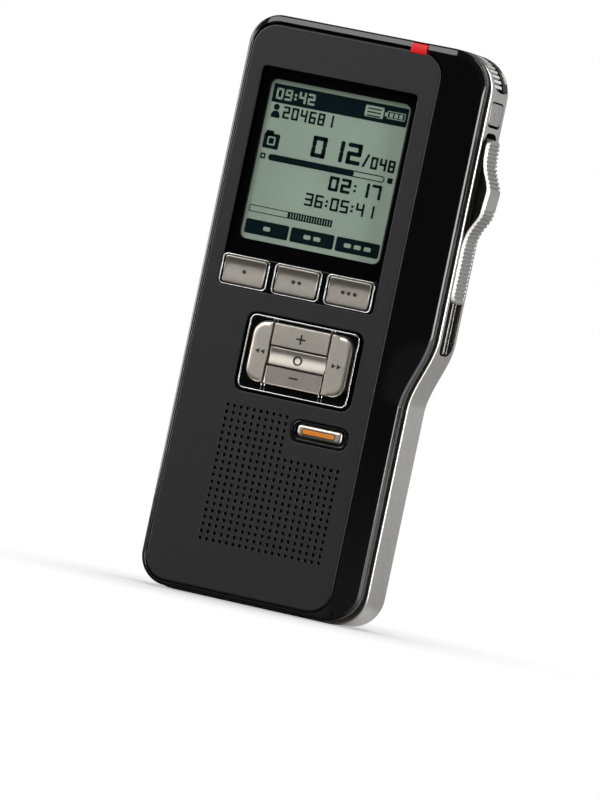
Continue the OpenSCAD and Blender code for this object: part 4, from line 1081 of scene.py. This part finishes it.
def build_card_door():
    plate = slab("card_door_panel", [(rect_loop(-DOOR.y1, -DOOR.y0, DOOR.z0, DOOR.z1, 0.5), 0.15, 3)],
                 DOOR.x0, DOOR.x0 + 1.1)
    carve(plate, block("cut", -DOOR.y0 - 1.4, -DOOR.y0 - 0.7, DOOR.x0 - 1, DOOR.x0 + 0.35, DOOR.z0 + 4,
                       DOOR.z1 - 4, 0.15))
    barrel = lathe("barrel", tube(0.48, 0.84, DOOR.z0 + 0.3, DOOR.z1 - 0.3), (LEFT + 0.85, 3.4, 0), "Z", 24)
    place(join("card_door_panel", [facing(plate, "left"), barrel]), SILVER, "side_door", ["card_door"])


def build_strap_pocket():
    x0, x1, y0, y1, z0, z1 = POCKET
    pocket = block("strap_pocket", x0, x1, y0 - 0.3, y1 + 0.3, z0 - 0.3, z1 + 0.3, 0.1)
    carve(pocket, block("cut", x0 - 1, x1 - 0.4, y0, y1, z0, z1, 0.4))
    place(pocket, MATT_BLACK)


# ---- Top and bottom -----------------------------------------------------------------------------

DOCK_PITCH = 1.1


def build_sockets():
    for name in ("ear_jack", "mic_jack"):
        middle = (*span(name).middle.xy, TOP)
        collar = lathe(f"{name}_ring", [(1.82, -1.2), (1.82, -0.22), (1.95, -0.06), (2.3, -0.02), (2.5, -0.12),
                                        (2.5, -1.2)], middle)
        place(collar, CHROME)
        place(lathe(f"{name}_sleeve", tube(1.8, 2.0, -7, -1), middle), GOLD)
    mid = span("usb_port").middle.x
    place(block("usb_tongue", mid - 2.5, mid + 2.5, 0.55, 1.25, 0.9, 8, 0.08), MATT_BLACK)
    mid = span("dock_connector").middle.x
    contacts = [block("contact", x - 0.28, x + 0.28, 1.72, 2.02, 0.7, 5.5, 0.05)
                for x in (mid + step * DOCK_PITCH for step in range(-5, 6))]
    place(join("dock_contacts", contacts), GOLD)


# ---- Back ---------------------------------------------------------------------------------------

def build_battery_cover():
    """The sliding grip's grooves and arrow, the hinge barrel, and ribs that stiffen the inside."""
    x0, x1, z0, z1 = COVER.x0, COVER.x1, COVER.z0 + 1.3, COVER.z1
    middle = COVER.middle.x
    plate = slab("battery_cover_plate", [(rect_loop(-x1, -x0, z0, z1, 0.9), 0.25, 4)], -BACK, -COVER.y0 - 0.1)
    facing(plate, "back")
    grooves = [lathe("cut", [(AXIS, -6.5), (0.55, -6), (0.55, 6), (AXIS, 6.5)],
                     (middle, BACK + 0.18, z1 - 3.4 - i * 1.25), "X", 20) for i in range(5)]
    tip = z1 - 11
    arrow = prism("cut", [(middle - 1.7, tip), (middle + 1.7, tip), (middle, tip - 2.1)], BACK - 0.25,
                  BACK + 1)
    carve(plate, *grooves, arrow, limit=28.0)
    soften(plate, 0.06, 2, 45.0)
    barrel = lathe("barrel", tube(0.66, 1.28, x0 + 0.05, x1 - 0.05), (0, BACK - 1.3, z0), "X", 32)
    ribs = [block("rib", x - 0.4, x + 0.4, COVER.y0, COVER.y0 + 0.3, z0 + 2, z1 - 4, 0.1)
            for x in (x0 + 4, middle, x1 - 4)]
    place(join("battery_cover_plate", [plate, barrel] + ribs), MATT_BLACK, "back_cover", ["battery_cover"])


def build_release():
    button = span("cover_release")
    loop = dense_loop(*button.back_face(-0.6), [0.7] * 4)
    cap = pillow("cover_release_cap", loop, -button.y1, -button.y1 + 1.6, 0.2, 3, None, (0.3, 0.5))
    facing(cap, "back")
    x0, x1, y1, mid = button.x0 + 1.9, button.x1 - 1.9, button.y1, button.middle.z
    ridges = [block("ridge", x0, x1, y1 - 0.1, y1, z - 0.14, z + 0.14, 0.04) for z in (mid - 0.45, mid + 0.45)]
    place(join("cover_release_cap", [cap] + ridges), SILVER, "release_button", ["cover_release"])


def build_rating_plate():
    """A blank plate with a thin frame and a few plain lines."""
    label = span("rating_plate")
    sheet = slab("rating_label", [(rect_loop(*label.back_face(), 1.0), 0.05, 2)], -label.y1, -label.y0)
    place(facing(sheet, "back"), LABEL, stands_for=["rating_plate"])
    border = slab("label_line", [(rect_loop(*label.back_face(-0.8), 0.5), 0.002, 1),
                                 (rect_loop(*label.back_face(-0.95), 0.4, True), 0.002, 1)],
                  -label.y1 - 0.01, -label.y1 + 0.02)
    bars = [block("bar", label.x1 - 2.5 - length, label.x1 - 2.5, label.y1 - 0.01, label.y1 + 0.01,
                  label.z1 - drop, label.z1 - drop + 0.5) for length, drop in ((11, 4), (15, 5.8), (8, 7.6))]
    place(join("rating_label_print", [facing(border, "back")] + bars), KEY_PRINT_AND_SHADE)


def build_screws():
    made = []
    for x, z in screw_centres():
        head = lathe("screw", [(AXIS, -0.75), (1.45, -0.75), (1.45, -0.25), (1.25, 0.0), (AXIS, 0.05)],
                     (x, BACK - 0.45, z), "Y", 32)
        cross = [block("cut", x - dx, x + dx, BACK - 0.8, BACK + 1, z - dz, z + dz)
                 for dx, dz in ((0.85, 0.17), (0.17, 0.85))]
        made += [carve(head, *cross), lathe("shank", rod(0.9, 0, 8), (x, -0.4, z), "Y", 16)]
    place(join("case_screw_set", made), STEEL, stands_for=["case_screws"])


def build_cell(node, flip):
    """A round cell: printed sleeve, colour band, steel ends."""
    cell = span(node)
    r = (cell.x1 - cell.x0) / 2 - 0.03
    length = cell.z1 - cell.z0
    base, way = (cell.z1, -1) if flip else (cell.z0, 1)

    def turned(name, profile):
        return lathe(name, [(radius, base + way * h) for radius, h in profile], (*cell.middle.xy, 0))

    nub = length - 0.9
    sleeve = turned(f"{node}_sleeve", [(r - 0.7, 0.15), (r - 0.12, 0.25), (r, 0.5), (r, nub - 9.5),
                                       (r - 2, nub - 9.5), (r - 2, 0.4)])
    place(sleeve, CELL_DARK, stands_for=[node])
    band = turned(f"{node}_band", [(r, nub - 9.5), (r, nub - 0.5), (r - 0.12, nub - 0.25),
                                   (r - 0.7, nub - 0.15), (r - 2, nub - 0.4), (r - 2, nub - 9.5)])
    place(band, CELL_COPPER)
    ends = [turned("end", [(AXIS, 0.03), (r - 1.0, 0.03), (r - 0.6, 0.3), (AXIS, 0.3)]),
            turned("end", [(AXIS, length), (1.7, length), (1.85, length - 0.15), (1.85, nub),
                           (r - 0.6, nub - 0.1), (r - 0.6, nub - 0.5), (AXIS, nub - 0.5)])]
    place(join(f"{node}_ends", ends), STEEL)


for build in (build_record_light, build_microphone_corner, build_new_button, build_slide_knob,
              build_slide_track, build_hold_switch, build_card_door, build_strap_pocket, build_sockets,
              build_battery_cover, build_release, build_rating_plate, build_screws):
    build()
build_cell("battery_left", False)
build_cell("battery_right", True)

# ---- Inside -------------------------------------------------------------------------------------

INSIDE = {
    MATT_BLACK: ("display_holder", "slide_switch_body", "slide_carrier", "new_switch", "hold_switch_body",
                 "speaker", "ear_jack", "mic_jack", "dock_connector", "battery_tray"),
    STEEL: ("microphone", "key_domes", "processor_shield", "usb_port", "battery_bridge", "battery_terminals",
            "cover_hinge_pin", "card_slot", "door_hinge_pin"),
    BOARD: ("key_board", "main_board", "io_board"),
    SILICONE: ("keypad_membrane",),
    FLEX: ("board_flex",),
    CHROME: ("strap_bar",),
    CARD_BLUE: ("memory_card",)}
for material, nodes in INSIDE.items():
    for node in nodes:
        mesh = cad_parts[node].data
        mesh.materials.clear()
        mesh.materials.append(material)

# ---- Studio -----------------------------------------------------------------------------------

CAMERA_AIM = Vector((1.1, FRONT, 41.1))
CAMERA_DISTANCE = 1405.0
CAMERA_AZIMUTH = 20.36
CAMERA_ELEVATION = 0.40
CAMERA_ROLL = 11.9
CAMERA_LENS = 327.8
LIGHT_AIM = Vector((0, 0, 55))


def add_camera():
    az, el, roll = (math.radians(a) for a in (CAMERA_AZIMUTH, CAMERA_ELEVATION, CAMERA_ROLL))
    forward = Vector((-math.sin(az) * math.cos(el), math.cos(az) * math.cos(el), -math.sin(el)))
    level = Vector((math.cos(az), math.sin(az), 0))
    rise = level.cross(forward)
    right = level * math.cos(roll) + rise * math.sin(roll)
    up = rise * math.cos(roll) - level * math.sin(roll)
    data = bpy.data.cameras.new("camera")
    data.lens = CAMERA_LENS
    data.clip_end = 10.0
    camera = bpy.data.objects.new("camera", data)
    spot = (CAMERA_AIM - forward * CAMERA_DISTANCE) * MM
    camera.matrix_world = Matrix.Translation(spot) @ Matrix((right, up, -forward)).transposed().to_4x4()
    bpy.context.scene.collection.objects.link(camera)
    bpy.context.scene.camera = camera


def add_panel_light(name, spot, size, power):
    """A rectangular softbox aimed at the object; its place and size are in millimetres."""
    data = bpy.data.lights.new(name, "AREA")
    data.shape = "RECTANGLE"
    data.size, data.size_y = (s * MM for s in size)
    data.energy = power
    light = bpy.data.objects.new(name, data)
    light.location = Vector(spot) * MM
    light.visible_camera = False
    light.rotation_euler = (LIGHT_AIM * MM - light.location).to_track_quat("-Z", "Y").to_euler()
    bpy.context.scene.collection.objects.link(light)


def add_world():
    """White behind the object, and dim greys, lighter towards the back, for everything that it reflects."""
    world = bpy.data.worlds.new("studio")
    world.use_nodes = True
    tree = world.node_tree
    coords = add_node(tree, "TexCoord", {})
    split = add_node(tree, "SeparateXYZ", {"Vector": coords.outputs["Generated"]})
    ramp = add_node(tree, "ValToRGB", {"Fac": remap(tree, split.outputs["Y"], 0.0, 1.0, -1.0, 1.0)})
    for stop, place_on, grey in zip(ramp.color_ramp.elements, (0.08, 0.7), (0.01, 0.25)):
        stop.position = place_on
        stop.color = (grey, grey, grey, 1)
    path = add_node(tree, "LightPath", {})
    shade = mix_colour(tree, path.outputs["Is Camera Ray"], ramp.outputs["Color"], (1, 1, 1))
    feed(tree, tree.nodes["Background"], {"Color": shade})
    bpy.context.scene.world = world


def mirrored_floor(tree):
    """The floor as reflections see it beside and behind the object: its share and its strength."""
    coords = add_node(tree, "TexCoord", {})
    split = add_node(tree, "SeparateXYZ", {"Vector": coords.outputs["Object"]})
    depth = split.outputs["Y"]
    lean = add_node(tree, "Math", {0: depth, 1: 1.3, 2: split.outputs["X"]}, operation="MULTIPLY_ADD")
    ramps = [remap(tree, value, 0.0, 1.0, 0.01, 0.05) for value in (lean.outputs["Value"], depth)]
    most = add_node(tree, "Math", dict(enumerate(ramps)), operation="MAXIMUM")
    return most.outputs["Value"], remap(tree, depth, 3.2, 0.55, -0.02, 0.02)


def floor_material():
    """White to the camera, with a soft shadow where the object stands; to reflections it is dark in front."""
    material, tree, shader = blank_material("pale_floor")
    feed(tree, shader, {"Base Color": (0.08, 0.08, 0.08, 1), "Roughness": 0.7})
    shadow = add_node(tree, "AmbientOcclusion", {"Distance": 45 * MM}, samples=8)
    white = add_node(tree, "Emission", {"Strength": remap(tree, shadow.outputs["AO"], 0.5, 1.0, 0.35, 1.0)})
    path = add_node(tree, "LightPath", {})
    share, strength = mirrored_floor(tree)
    card = add_node(tree, "Emission", {"Strength": strength})
    glossy = add_node(tree, "Math", {0: path.outputs["Is Glossy Ray"], 1: share}, operation="MULTIPLY")
    mirrored = add_node(tree, "MixShader", {"Fac": glossy.outputs["Value"], 1: shader.outputs["BSDF"],
                                            2: card.outputs["Emission"]})
    seen = add_node(tree, "MixShader", {"Fac": path.outputs["Is Camera Ray"], 1: mirrored.outputs["Shader"],
                                        2: white.outputs["Emission"]})
    feed(tree, tree.nodes["Material Output"], {"Surface": seen.outputs["Shader"]})
    return material


def add_floor():
    size = 3000.0
    bm = bmesh.new()
    corners = [(-size, -size), (size, -size), (size, size), (-size, size)]
    bm.faces.new([bm.verts.new((x, y, -0.02)) for x, y in corners])
    floor = piece("floor", bm)
    floor.data.materials.append(floor_material())


add_camera()
add_world()
add_floor()
for name, spot, size, power in (("left_box", (-900, -150, 250), (400, 900), 7.0),
                                ("right_strip", (950, -345, 380), (190, 1700), 11.5),
                                ("top_front_box", (-350, -680, 760), (800, 330), 3.8),
                                ("front_left_box", (-740, -1060, 480), (500, 500), 4.2),
                                ("back_right_box", (330, 900, 200), (620, 900), 0.85)):
    add_panel_light(name, spot, size, power)
bpy.context.scene.view_settings.view_transform = "Standard"
